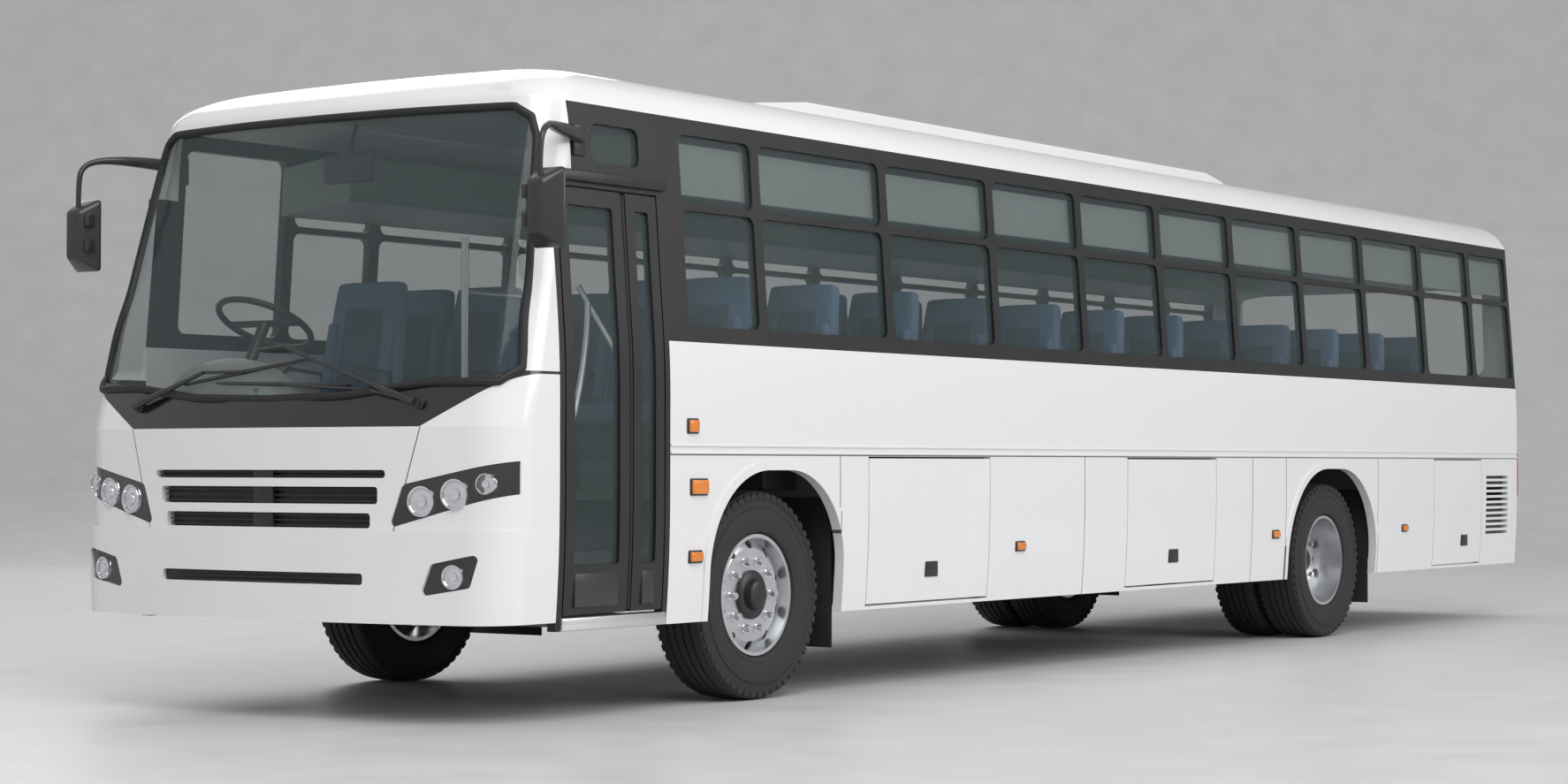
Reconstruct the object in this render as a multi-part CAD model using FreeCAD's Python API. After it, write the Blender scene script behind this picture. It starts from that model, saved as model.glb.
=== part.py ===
import FreeCAD, Part
import math
import os
from FreeCAD import Vector

# Twelve-metre passenger bus. Millimetres, +Z up, +X to the bus's left (the door
# side), -Y to the front. The origin is on the ground under the middle of the box.

# ---- overall sizes -----------------------------------------------------------
LENGTH = 12070.0
WIDTH = 2600.0
WHEELBASE = 6425.0
FRONT_OVERHANG = 2168.0

# ---- heights -----------------------------------------------------------------
SKIRT_Z = 400.0          # lower edge of the body sides
BUMPER_Z = 440.0         # foot of the front bumper
BELT_Z = 1175.0          # top of the luggage doors, foot of the belt moulding
COWL_Z = 1290.0          # top of the front panel, foot of the windscreen frame
SILL_Z = 1691.0          # foot of the side windows
RAIL_Z = 2731.0          # head of the side windows, where the roof starts
FLOOR_Z = 1000.0         # walking surface of the saloon floor
DECK = 40.0              # thickness of the floor

# ---- body section --------------------------------------------------------------
WALL = 45.0              # whole thickness of a side wall, roof or end panel
TUCK = 25.0              # how far the foot of the side tucks in
TUCK_TOP_Z = 1000.0      # where the tuck ends
LEAN_START_Z = 1480.0    # where the side starts to lean in
LEAN = 0.0731            # inward lean of the window band per unit of height
CROWN_FLAT = 300.0       # half width of the flat strip along the roof's crown
CROWN_INSET = 600.0      # from the side to the edge of the crown curve
HAUNCH_INSET = 300.0     # from the side to the foot of the haunch curve
CROWN_ANGLE = math.radians(3.3)
HAUNCH_ANGLE = math.radians(12.0)
SHOULDER_ANGLE = math.radians(65.0)

# ---- ends ------------------------------------------------------------------------
NOSE_SET = 34.0          # the front panel lies this far behind the bumper's face
BULGE_R = 6400.0         # plan radius of the front face
CORNER_R = 220.0         # plan radius of the front corners
REAR_BULGE_R = 12000.0
REAR_CORNER_R = 200.0
RAKE = 0.2526            # backward rake of the windscreen per unit of height
RAKE_GAIN = 1.99e-5      # how fast that rake grows
REAR_LEAN = 0.055        # forward lean of the rear window panel
REAR_LEAN_Z = 1700.0
NOSE_DEPTH = 530.0       # front face to the front door post
FRONT_CAP = 1345.0       # front face to the roof seam
QUARTER_SET = 150.0      # the windscreen frame's top corners reach this far behind the door post
QUARTER_RISE = 60.0      # door head to the foot of those corners
REAR_CAP = 220.0         # rear face to the rear corner seam

# ---- entrance ----------------------------------------------------------------------
DOOR_WIDTH = 801.0
DOOR_HEAD_Z = 2345.0
DOOR_SILL_Z = 470.0
FRONT_LEAF = 445.0       # width of the wider leaf
LEAF_GAP = 38.0          # rubber-filled gap between the leaves, which swing past each other
LEAF = 40.0              # thickness of a door leaf
LEAF_RIM = 62.0          # width of a leaf's frame beside its glass
POST = 45.0
DOOR_GAP = 9.0           # running gap round every door and lid

# ---- windows -------------------------------------------------------------------------
WINDOW_WIDTHS = (641, 1132, 1070, 979, 962, 970, 988, 989, 1002, 887)
LAST_WINDOW = 764.0
PILLAR = 70.0            # width of a window pillar
WINDOW_RAIL = 75.0       # height of the rails over and under the glass
SLIDER_Z = 2320.0        # middle of the bar between upper and lower panes
SLIDER_BAR = 33.0
GLASS = 6.0
GLASS_SET = 14.0         # glass lies this far inside the outer face
WINDOW_R = 45.0
SEAT_GAP = 0.3           # clearance of a piece laid in another

# ---- wheels --------------------------------------------------------------------------
TYRE_R = 502.0
TYRE_W = 275.0
RIM_R = 292.0
RIM_W = 228.0
TWIN_GAP = 35.0
FRONT_FACE_X = 1215.0    # outer side of the front tyres
REAR_FACE_X = 1245.0
KINGPIN_X = 900.0
KINGPIN_R = 22.0
SPINDLE_R = 32.0
STUD_CIRCLE_R = 167.5
STUD_R = 16.0
STUDS = 10
ARCH_TOP_Z = 1100.0
FRONT_ARCH = (524.0, 599.0)   # ahead of and behind the front wheel's centre
REAR_ARCH = (690.0, 681.0)
LIP_W = 42.0
LIP_PROUD = 8.0

# ---- chassis -----------------------------------------------------------------------------
RAIL_X = 430.0           # outer side of the frame rails
FRAME_RAIL = (80.0, 250.0)    # width and height of a rail
FRAME_TOP = FLOOR_Z - DECK
BAY_TOP = FRAME_TOP - 100.0   # foot of the outriggers, where the luggage bays hang
SPRING_W = 90.0
TOW_PLATE = (160.0, 50.0)      # width and thickness
TOW_SET = 48.0           # cross member to the middle of the towing pin's hole
TOW_PIN_R = 21.0
ENGINE = (900.0, 1250.0, 520.0)
ENGINE_Z = 430.0
LUGGAGE_INNER_X = 500.0
LUGGAGE_FLOOR_Z = 430.0
SHEET = 12.0
FLOOR_SET = 8.0          # the floor stops this far inside the side walls
HOUSING_X = 615.0        # inner side of the room round a wheel
HOUSING_SHELL = 20.0     # thickness of the wheel housings in the floor

# ---- seats ---------------------------------------------------------------------------------
SEAT_ROWS = 12
SEAT_PITCH = 757.0
SEAT_W = 900.0
COLUMN = 560.0           # length of the steering column
DRIVER_SET = 705.0       # door post to the driver's seat
MIRROR_SET = 300.0       # door post forward to the mirrors' stems
AISLE = 270.0            # half width of the aisle
SEAT_Z = 420.0           # cushion top over the floor
BACK_Z = 1040.0          # top of the backrest over the floor

# ---- derived -----------------------------------------------------------------------------
FRONT = -LENGTH / 2
REAR = LENGTH / 2
HALF = WIDTH / 2
FRONT_AXLE = FRONT + FRONT_OVERHANG
REAR_AXLE = FRONT_AXLE + WHEELBASE
FACE = FRONT + NOSE_SET
POST_Y = FRONT + NOSE_DEPTH
QUARTER_Y = POST_Y + QUARTER_SET
QUARTER_Z = DOOR_HEAD_Z + QUARTER_RISE
DOOR_END = POST_Y + DOOR_WIDTH
CAP_Y = FRONT + FRONT_CAP
MIRROR_Y = POST_Y - MIRROR_SET
TAIL_Y = REAR - REAR_CAP
SILL_HALF = HALF - LEAN * (SILL_Z - LEAN_START_Z) / 2
RAIL_HALF = SILL_HALF - LEAN * (RAIL_Z - SILL_Z)
CROWN_X = HALF - CROWN_INSET
HAUNCH_X = HALF - HAUNCH_INSET
SHOULDER_R = (RAIL_HALF - HAUNCH_X) / (math.sin(SHOULDER_ANGLE) - math.sin(HAUNCH_ANGLE))
HAUNCH_R = (HAUNCH_X - CROWN_X) / (math.sin(HAUNCH_ANGLE) - math.sin(CROWN_ANGLE))
CROWN_R = CROWN_X / math.sin(CROWN_ANGLE)
HAUNCH_Z = RAIL_Z + SHOULDER_R * (math.cos(HAUNCH_ANGLE) - math.cos(SHOULDER_ANGLE))
CROWN_Z = HAUNCH_Z + HAUNCH_R * (math.cos(CROWN_ANGLE) - math.cos(HAUNCH_ANGLE))
FLAT_ANGLE = math.asin(CROWN_FLAT / CROWN_R)
TOP_Z = CROWN_Z + CROWN_R * (math.cos(FLAT_ANGLE) - math.cos(CROWN_ANGLE))
APEX_Z = CROWN_Z + CROWN_R * (1 - math.cos(CROWN_ANGLE))
POD_X = 760.0            # half width of the roof unit
POD_SET = 1452.0         # roof seam to the roof unit
POD_LENGTH = 5278.0
POD_H = 48.0
BEYOND = 400.0           # how far a cutting tool runs past what it cuts


# ---- plain shapes ------------------------------------------------------------------------
def box(x, y, z):
    """Box between three (low, high) pairs."""
    return Part.makeBox(x[1] - x[0], y[1] - y[0], z[1] - z[0], Vector(x[0], y[0], z[0]))


def cylinder(axis, centre, start, end, radius):
    """Cylinder along an axis; centre holds the other two coordinates."""
    direction = place(axis, 0, 0, 1)
    return Part.makeCylinder(radius, end - start, place(axis, centre[0], centre[1], start), direction)


def place(axis, u, v, w):
    """Point at u, v across the named axis and w along it."""
    return {"x": Vector(w, u, v), "y": Vector(u, w, v), "z": Vector(u, v, w)}[axis]


def outline(axis, points, w=0.0):
    """Closed wire through (u, v) or (u, v, radius) corners, the radius rounding the corner."""
    ends = []
    for i, point in enumerate(points):
        here = place(axis, point[0], point[1], w)
        before = place(axis, points[i - 1][0], points[i - 1][1], w)
        after = place(axis, points[(i + 1) % len(points)][0], points[(i + 1) % len(points)][1], w)
        radius = point[2] if len(point) > 2 else 0.0
        if radius == 0.0:
            ends.append((here, here, None))
            continue
        back = (before - here).normalize()
        on = (after - here).normalize()
        half = back.getAngle(on) / 2
        run = radius / math.tan(half)
        bisector = (back + on).normalize()
        middle = here + bisector * (radius / math.sin(half) - radius)
        ends.append((here + back * run, here + on * run, middle))
    edges = []
    for i, (start, end, middle) in enumerate(ends):
        if middle is not None:
            edges.append(Part.Arc(start, middle, end).toShape())
        following = ends[(i + 1) % len(ends)][0]
        if (following - end).Length > 0.01:
            edges.append(Part.makeLine(end, following))
    return Part.Wire(edges)


def prism(axis, points, start, end):
    """Rounded outline pushed along an axis."""
    return Part.Face(outline(axis, points, start)).extrude(place(axis, 0, 0, end - start))


def window(axis, u, v, start, end, radius=WINDOW_R):
    """Prism over a rectangle with round corners."""
    corners = [(u[0], v[0], radius), (u[1], v[0], radius), (u[1], v[1], radius), (u[0], v[1], radius)]
    return prism(axis, corners, start, end)


def turned(profile, y, z):
    """Solid turned about the X direction through (y, z) from (x, radius) points."""
    wire = Part.makePolygon([Vector(x, y, z + r) for x, r in profile + profile[:1]])
    return Part.Face(wire).revolve(Vector(0, y, z), Vector(1, 0, 0), 360)


def tube(points, radius, bend):
    """Round bar along straight runs joined by arcs of one bend radius."""
    edges = []
    start = points[0]
    for i in range(1, len(points) - 1):
        back = (points[i - 1] - points[i]).normalize()
        on = (points[i + 1] - points[i]).normalize()
        half = back.getAngle(on) / 2
        run = bend / math.tan(half)
        middle = points[i] + (back + on).normalize() * (bend / math.sin(half) - bend)
        edges.append(Part.makeLine(start, points[i] + back * run))
        edges.append(Part.Arc(points[i] + back * run, middle, points[i] + on * run).toShape())
        start = points[i] + on * run
    edges.append(Part.makeLine(start, points[-1]))
    path = Part.Wire(edges)
    ring = Part.Wire(Part.makeCircle(radius, points[0], points[1] - points[0]))
    return path.makePipeShell([ring], True, True)


def mirrored(shape):
    return shape.mirror(Vector(0, 0, 0), Vector(1, 0, 0))


def cut(shape, tools):
    return shape.cut(Part.makeCompound(tools)) if tools else shape


def fused(shapes):
    return shapes[0].multiFuse(shapes[1:]).removeSplitter() if len(shapes) > 1 else shapes[0]


def export(name, *shapes):
    """Write one node; its solids are kept apart."""
    solids = [solid for shape in shapes for solid in shape.Solids]
    shape = solids[0] if len(solids) == 1 else Part.makeCompound(solids)
    shape.exportStep("parts/%s.step" % name)


# ---- body section ----------------------------------------------------------------------------
def half_width(z):
    """Outer half width of the body at a height below the roof."""
    if z < TUCK_TOP_Z:
        return HALF - TUCK * ((TUCK_TOP_Z - z) / (TUCK_TOP_Z - SKIRT_Z)) ** 2
    if z < LEAN_START_Z:
        return HALF
    if z < SILL_Z:
        return HALF - LEAN * (z - LEAN_START_Z) ** 2 / (2 * (SILL_Z - LEAN_START_Z))
    return SILL_HALF - LEAN * (z - SILL_Z)


def side_edge(low, high, inset):
    """Section line of the body side between two heights."""
    steps = 1 if low >= SILL_Z else 8
    stations = [low + (high - low) * i / steps for i in range(steps + 1)]
    points = [Vector(half_width(z) - inset, 0, z) for z in stations]
    if steps == 1:
        return Part.makeLine(*points)
    curve = Part.BSplineCurve()
    curve.interpolate(points)
    return curve.toShape()


def side_slab(y, z, inset=0.0, thick=WALL):
    """Piece of the left side wall between (low, high) lengths and heights."""
    outer = side_edge(z[0], z[1], inset)
    inner = side_edge(z[0], z[1], inset + thick)
    foot = Part.makeLine(Vector(half_width(z[0]) - inset, 0, z[0]),
                         Vector(half_width(z[0]) - inset - thick, 0, z[0]))
    head = Part.makeLine(Vector(half_width(z[1]) - inset, 0, z[1]),
                         Vector(half_width(z[1]) - inset - thick, 0, z[1]))
    wire = Part.Wire(Part.__sortEdges__([outer, head, inner, foot]))
    slab = Part.Face(wire).extrude(Vector(0, y[1] - y[0], 0))
    slab.translate(Vector(0, y[0], 0))
    return slab


def roof_point(angle, inset=0.0):
    """Point of the roof section where it slopes by this angle."""
    if angle <= CROWN_ANGLE:
        centre = Vector(0, 0, CROWN_Z - CROWN_R * math.cos(CROWN_ANGLE))
        radius = CROWN_R
    elif angle <= HAUNCH_ANGLE:
        centre = Vector(CROWN_X - HAUNCH_R * math.sin(CROWN_ANGLE), 0,
                        CROWN_Z - HAUNCH_R * math.cos(CROWN_ANGLE))
        radius = HAUNCH_R
    else:
        centre = Vector(HAUNCH_X - SHOULDER_R * math.sin(HAUNCH_ANGLE), 0,
                        HAUNCH_Z - SHOULDER_R * math.cos(HAUNCH_ANGLE))
        radius = SHOULDER_R
    reach = radius - inset
    return centre + Vector(math.sin(angle) * reach, 0, math.cos(angle) * reach)


def roof_edges(inset):
    """Left half of the roof section, from the rail to the crown's flat strip."""
    edges = []
    for high, low in ((SHOULDER_ANGLE, HAUNCH_ANGLE), (HAUNCH_ANGLE, CROWN_ANGLE), (CROWN_ANGLE, FLAT_ANGLE)):
        start = roof_point(high, inset)
        end = roof_point(low, inset)
        edges.append(Part.Arc(start, roof_point((high + low) / 2, inset), end).toShape())
    return edges


def roof_slab(y, inset=0.0, thick=WALL):
    """Length of the roof between the two side rails."""
    rings = []
    for depth in (inset, inset + thick):
        left = roof_edges(depth)
        right = [mirrored(edge) for edge in left]
        flat = roof_point(FLAT_ANGLE, depth)
        rings.append(left + right + [Part.makeLine(flat, Vector(-flat.x, 0, flat.z))])
    edges = rings[0] + rings[1]
    for sign in (1, -1):
        ends = [roof_point(SHOULDER_ANGLE, depth) for depth in (inset, inset + thick)]
        edges.append(Part.makeLine(*[Vector(sign * p.x, 0, p.z) for p in ends]))
    slab = Part.Face(Part.Wire(Part.__sortEdges__(edges))).extrude(Vector(0, y[1] - y[0], 0))
    slab.translate(Vector(0, y[0], 0))
    return slab.cut(box((-HALF, HALF), y, (RAIL_Z - WALL, RAIL_Z)))


# ---- ends --------------------------------------------------------------------------------------
def front_y(z):
    """Middle of the front face at a height."""
    if z <= COWL_Z:
        return FACE
    if z <= RAIL_Z:
        return FACE + RAKE * (z - COWL_Z) + RAKE_GAIN * (z - COWL_Z) ** 2
    reach = (z - RAIL_Z) / (APEX_Z - RAIL_Z)
    return CAP_Y - (CAP_Y - front_y(RAIL_Z)) * math.sqrt(1 - reach ** 2)


def rear_y(z):
    """Middle of the rear face at a height, measured from the rear end, forward positive."""
    lean = REAR_LEAN * max(0.0, min(z, RAIL_Z) - REAR_LEAN_Z)
    if z <= RAIL_Z:
        return lean
    reach = (z - RAIL_Z) / (APEX_Z - RAIL_Z)
    return REAR_CAP - (REAR_CAP - lean) * math.sqrt(1 - reach ** 2)


def plan_wire(z, half, end_y, back_y, inset, corner, bulge):
    """Plan outline of a rounded end facing -Y, closed behind by a straight line."""
    corner_x = half - corner
    bulge_y = end_y + bulge
    corner_y = bulge_y - math.sqrt((bulge - corner) ** 2 - corner_x ** 2)
    centre = Vector(corner_x, corner_y, z)
    toward = Vector(corner_x, corner_y - bulge_y, 0).normalize()
    joint = centre + toward * (corner - inset)
    middle = centre + (toward + Vector(1, 0, 0)).normalize() * (corner - inset)
    side = Vector(half - inset, corner_y, z)
    back = Vector(half - inset, back_y, z)

    def right(point):
        return Vector(-point.x, point.y, point.z)

    nose = Vector(0, end_y + inset, z)
    return Part.Wire([
        Part.makeLine(back, side),
        Part.Arc(side, middle, joint).toShape(),
        Part.Arc(joint, nose, right(joint)).toShape(),
        Part.Arc(right(joint), right(middle), right(side)).toShape(),
        Part.makeLine(right(side), right(back)),
        Part.makeLine(right(back), back)])


def end_solid(heights, inset, back_y, y_of, corner, bulge):
    """Solid inside a rounded end, lofted through plan outlines at (height, half width)."""
    wires = [plan_wire(z, half, y_of(z), back_y, inset, corner, bulge) for z, half in heights]
    return Part.makeLoft(wires, True, len(wires) == 2)


def end_wall(heights, back_y, seam_y, y_of, corner, bulge, proud=0.0, thick=WALL, inner_heights=None):
    """Wall of a rounded end, cut off at a seam plane."""
    outer = end_solid(heights, -proud, back_y, y_of, corner, bulge)
    inner = end_solid(inner_heights or heights, thick - proud, back_y + 1.0, y_of, corner, bulge)
    low, high = heights[0][0], heights[-1][0]
    behind = box((-2 * HALF, 2 * HALF), (seam_y, back_y + BEYOND), (low - BEYOND, high + BEYOND))
    return outer.cut(inner).cut(behind)


def wall_heights(low, high):
    """Stations of the side wall between two heights, with the ends of its curves."""
    inside = [z for z in (700.0, TUCK_TOP_Z, LEAN_START_Z, SILL_Z, 2000.0, 2350.0) if low < z < high]
    return [(z, half_width(z)) for z in [low] + inside + [high]]


def roof_heights(inset=0.0):
    """Stations of the roof, or of its inner face, from the rail to the crown's flat strip."""
    steps = [65.0, 50.0, 37.0, 24.0, 12.0, 8.0, 5.5, 3.3]
    points = [roof_point(math.radians(a), inset) for a in steps] + [roof_point(FLAT_ANGLE, inset)]
    return [(p.z, p.x + inset) for p in points]


def rearward(shape):
    """Turn an end built facing -Y round to the rear end."""
    return shape.mirror(Vector(0, 0, 0), Vector(0, 1, 0))


# ---- body panels -----------------------------------------------------------------------------
def window_spans():
    """(low, high) of every window from the door post to the rear corner."""
    spans = []
    y = DOOR_END + 125.0
    for width in WINDOW_WIDTHS:
        spans.append((y, y + width))
        y += width
    spans.append((y, TAIL_Y - 10.0))
    return spans


def arch(axle, reach, grow=0.0):
    """Prism through the side over a wheel, rounded at its top corners."""
    y = (axle - reach[0] - grow, axle + reach[1] + grow)
    low, high = SKIRT_Z - BEYOND, ARCH_TOP_Z + grow
    radius = 0.42 * (y[1] - y[0])
    points = [(y[0], low), (y[1], low), (y[1], high, radius), (y[0], high, radius)]
    return prism("x", points, HALF - 4 * WALL, HALF + BEYOND)


def lids():
    """The (low, high) length of each lid opening, by name."""
    ahead = FRONT_AXLE + FRONT_ARCH[1] + 225.0
    behind = REAR_AXLE - REAR_ARCH[0] - 1025.0
    return {"front_locker": (ahead, ahead + 1196.0), "middle_locker": (behind - 1145.0, behind),
            "service_lid": (REAR_AXLE + REAR_ARCH[1] + 995.0, REAR_AXLE + REAR_ARCH[1] + 1885.0)}


LID_LOW = SKIRT_Z + 18.0
LID_HIGH = BELT_Z - 8.0


def side_panel(lid_names, front):
    panel = side_slab((front, TAIL_Y), (SKIRT_Z, SILL_Z))
    tools = [arch(FRONT_AXLE, FRONT_ARCH), arch(REAR_AXLE, REAR_ARCH)]
    tools += [box((HALF - 4 * WALL, HALF + BEYOND), lids()[n], (LID_LOW, LID_HIGH)) for n in lid_names]
    louvre = (REAR - 826.0, REAR - 399.0)
    for i in range(11):
        z = SKIRT_Z + 225.0 + 40.0 * i
        tools.append(box((HALF - 4 * WALL, HALF + BEYOND), louvre, (z, z + 22.0)))
    lips = []
    for axle, reach in ((FRONT_AXLE, FRONT_ARCH), (REAR_AXLE, REAR_ARCH)):
        skin = side_slab((axle - reach[0] - LIP_W, axle + reach[1] + LIP_W),
                         (SKIRT_Z, ARCH_TOP_Z + LIP_W), -LIP_PROUD, LIP_PROUD + WALL / 2)
        lips.append(skin.common(arch(axle, reach, LIP_W)))
    return cut(fused([panel] + lips), tools)


def lid(name):
    span = lids()[name]
    return side_slab((span[0] + DOOR_GAP, span[1] - DOOR_GAP), (LID_LOW + DOOR_GAP, LID_HIGH - DOOR_GAP))


def window_frame(front):
    frame = side_slab((front, TAIL_Y), (SILL_Z, RAIL_Z))
    tools = []
    for low, high in window_spans():
        for z in pane_heights():
            tools.append(window("x", (low + PILLAR / 2, high - PILLAR / 2), z, HALF - 5 * WALL, HALF + BEYOND))
    return frame, tools


def pane_heights():
    return ((SILL_Z + WINDOW_RAIL, SLIDER_Z - SLIDER_BAR / 2), (SLIDER_Z + SLIDER_BAR / 2, RAIL_Z - WINDOW_RAIL))


def pane(span, z, depth=GLASS_SET):
    """Pane laid in a window of the side, a seat's clearance inside its opening."""
    y = (span[0] + SEAT_GAP, span[1] - SEAT_GAP)
    height = (z[0] + SEAT_GAP, z[1] - SEAT_GAP)
    opening = window("x", y, height, HALF - 5 * WALL, HALF + BEYOND, WINDOW_R - SEAT_GAP)
    return side_slab(y, height, depth, GLASS).common(opening)


def side_panes():
    return [pane((low + PILLAR / 2, high - PILLAR / 2), z) for low, high in window_spans() for z in pane_heights()]


def windscreen_outline(grow=0.0):
    head = RAIL_Z - 22.0
    low_x, high_x = HALF - 25.0 + grow, RAIL_HALF - 65.0 + grow
    half = [(low_x, COWL_Z + 230.0 - grow, 60.0), (high_x, head + grow, 130.0)]
    foot = [(0.0, COWL_Z + 100.0 - grow, 5000.0)]
    return half + [(-u, v, r) for u, v, r in reversed(half)] + foot


def nose(low, high, proud=0.0, thick=WALL, seam=POST_Y):
    return end_wall(wall_heights(low, high), CAP_Y + 200.0, seam, front_y, CORNER_R, BULGE_R, proud, thick)


def quarter_corner():
    """Room over the door head that the windscreen frame's top corners take."""
    return box((-HALF - BEYOND, HALF + BEYOND), (POST_Y - BEYOND, QUARTER_Y), (QUARTER_Z, RAIL_Z + BEYOND))


def tail(low, high, proud=0.0, thick=WALL, seam=None):
    seam = REAR_CAP if seam is None else seam
    return end_wall(wall_heights(low, high), REAR_CAP + BEYOND, seam, rear_y, REAR_CORNER_R, REAR_BULGE_R, proud, thick)


def place_tail(shape):
    """Tail walls are built from 0 rearwards; turn and move one to the rear end."""
    turned_round = rearward(shape)
    turned_round.translate(Vector(0, REAR, 0))
    return turned_round


def body():
    spans = window_spans()
    export("left_side_panel", side_panel(lids(), DOOR_END))
    export("right_side_panel", mirrored(side_panel(("front_locker", "middle_locker"), POST_Y)))
    frame, tools = window_frame(DOOR_END)
    export("left_window_frame", frame.cut(Part.makeCompound(tools)))
    cab = (QUARTER_Y + POST, spans[0][0] - PILLAR / 2)
    frame, tools = window_frame(POST_Y)
    tools.append(quarter_corner())
    cab_z = (SILL_Z + WINDOW_RAIL, RAIL_Z - WINDOW_RAIL)
    tools.append(window("x", cab, cab_z, HALF - 5 * WALL, HALF + BEYOND))
    export("right_window_frame", mirrored(frame.cut(Part.makeCompound(tools))))
    panes = side_panes()
    export("side_windows", *(panes + [mirrored(p) for p in panes + [pane(cab, cab_z)]]))
    for name in lids():
        export("left_" + name, lid(name))
        if name != "service_lid":
            export("right_" + name, mirrored(lid(name)))
    export("roof", roof_slab((CAP_Y, TAIL_Y)))
    start, end = CAP_Y + POD_SET, CAP_Y + POD_SET + POD_LENGTH
    top = TOP_Z + POD_H
    pod = [(start, HAUNCH_Z), (start, TOP_Z + 3.0), (start + 430.0, top), (end - 250.0, top),
           (end, TOP_Z + 3.0), (end, HAUNCH_Z)]
    cover = prism("x", pod, -POD_X, POD_X)
    export("roof_unit", cover.cut(under_roof(start - 1.0, end + 1.0)))


def moved(shape, by):
    shape.translate(by)
    return shape


def under_roof(low, high):
    """Everything under the roof's outer face."""
    half = roof_edges(0.0)
    flat = roof_point(FLAT_ANGLE)
    rail = roof_point(SHOULDER_ANGLE)
    edges = half + [mirrored(edge) for edge in half]
    edges += [Part.makeLine(flat, Vector(-flat.x, 0, flat.z)), Part.makeLine(rail, Vector(-rail.x, 0, rail.z))]
    solid = Part.Face(Part.Wire(Part.__sortEdges__(edges))).extrude(Vector(0, high - low, 0))
    return moved(solid, Vector(0, low, 0))


def front_end():
    lower = nose(COWL_Z - 450.0, COWL_Z)
    bumper = bumper_wall(0.0, WALL + NOSE_SET)
    slots = [window("y", (-x, x), z, FRONT - BEYOND, FACE + 200.0, 15.0)
             for x, z in ((700.0, (1068.0, 1103.0)), (660.0, (955.0, 1030.0)), (621.0, (850.0, 915.0)))]
    lamp = [(720.0, 850.0, 20.0), (1330.0, 1010.0), (1330.0, 1150.0), (790.0, 1040.0, 40.0)]
    socket = prism("y", lamp, FRONT - BEYOND, POST_Y - 250.0)
    fog = prism("y", [(905.0, 560.0, 20.0), (1150.0, 600.0, 20.0), (1190.0, 745.0, 20.0), (960.0, 700.0, 30.0)],
                FRONT - BEYOND, POST_Y - 250.0)
    intake = window("y", (-609.0, 609.0), (605.0, 655.0), FRONT - BEYOND, FACE + 200.0, 15.0)
    export("front_panel", cut(lower, slots + [socket, mirrored(socket)]))
    export("front_bumper", cut(bumper, [fog, mirrored(fog), intake]))
    glass = nose(COWL_Z - 450.0 + 1.0, COWL_Z - 1.0, -6.0, 25.0).common(inset_prism(lamp))
    fog_glass = bumper_wall(-12.0, 30.0)
    fog_glass = fog_glass.common(prism("y", [(905.5, 560.5, 20.0), (1149.5, 600.5, 20.0), (1189.5, 744.5, 20.0),
                                             (960.5, 699.5, 30.0)], FRONT - BEYOND, POST_Y - 250.0))
    export("headlamps", glass, mirrored(glass), fog_glass, mirrored(fog_glass))
    mesh = nose(COWL_Z - 450.0 + 1.0, COWL_Z - 1.0, -WALL, 6.0).common(
        box((-720.0, 720.0), (FRONT - BEYOND, FACE + 300.0), (842.0, 1112.0)))
    export("grille_mesh", mesh)
    upper = nose(COWL_Z, RAIL_Z, seam=QUARTER_Y)
    below_corner = box((-HALF - BEYOND, HALF + BEYOND), (POST_Y, QUARTER_Y + BEYOND), (0.0, QUARTER_Z))
    opening = prism("y", windscreen_outline(), FRONT - BEYOND, POST_Y + 200.0)
    export("windscreen_frame", upper.cut(opening).cut(below_corner))
    glass_opening = prism("y", windscreen_outline(-SEAT_GAP), FRONT - BEYOND, QUARTER_Y - 1.0)
    pane_wall = nose(COWL_Z + 1.0, RAIL_Z - 1.0, -GLASS_SET, GLASS, QUARTER_Y)
    export("windscreen", pane_wall.common(glass_opening))
    cap = end_wall(roof_heights(), CAP_Y + BEYOND, CAP_Y, front_y, CORNER_R, BULGE_R,
                   inner_heights=roof_heights(WALL))
    export("front_cap", cap)


def bumper_wall(proud, thick):
    return end_wall(wall_heights(BUMPER_Z, COWL_Z - 450.0), CAP_Y + 200.0, POST_Y, lambda z: FRONT,
                    CORNER_R, BULGE_R, proud, thick)


def inset_prism(lamp):
    return prism("y", [(p[0] + (0.5 if i in (0, 3) else 0.0), p[1] + (0.5 if i < 2 else -0.5)) + p[2:]
                       for i, p in enumerate(lamp)], FRONT - BEYOND, POST_Y - 250.0)


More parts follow.
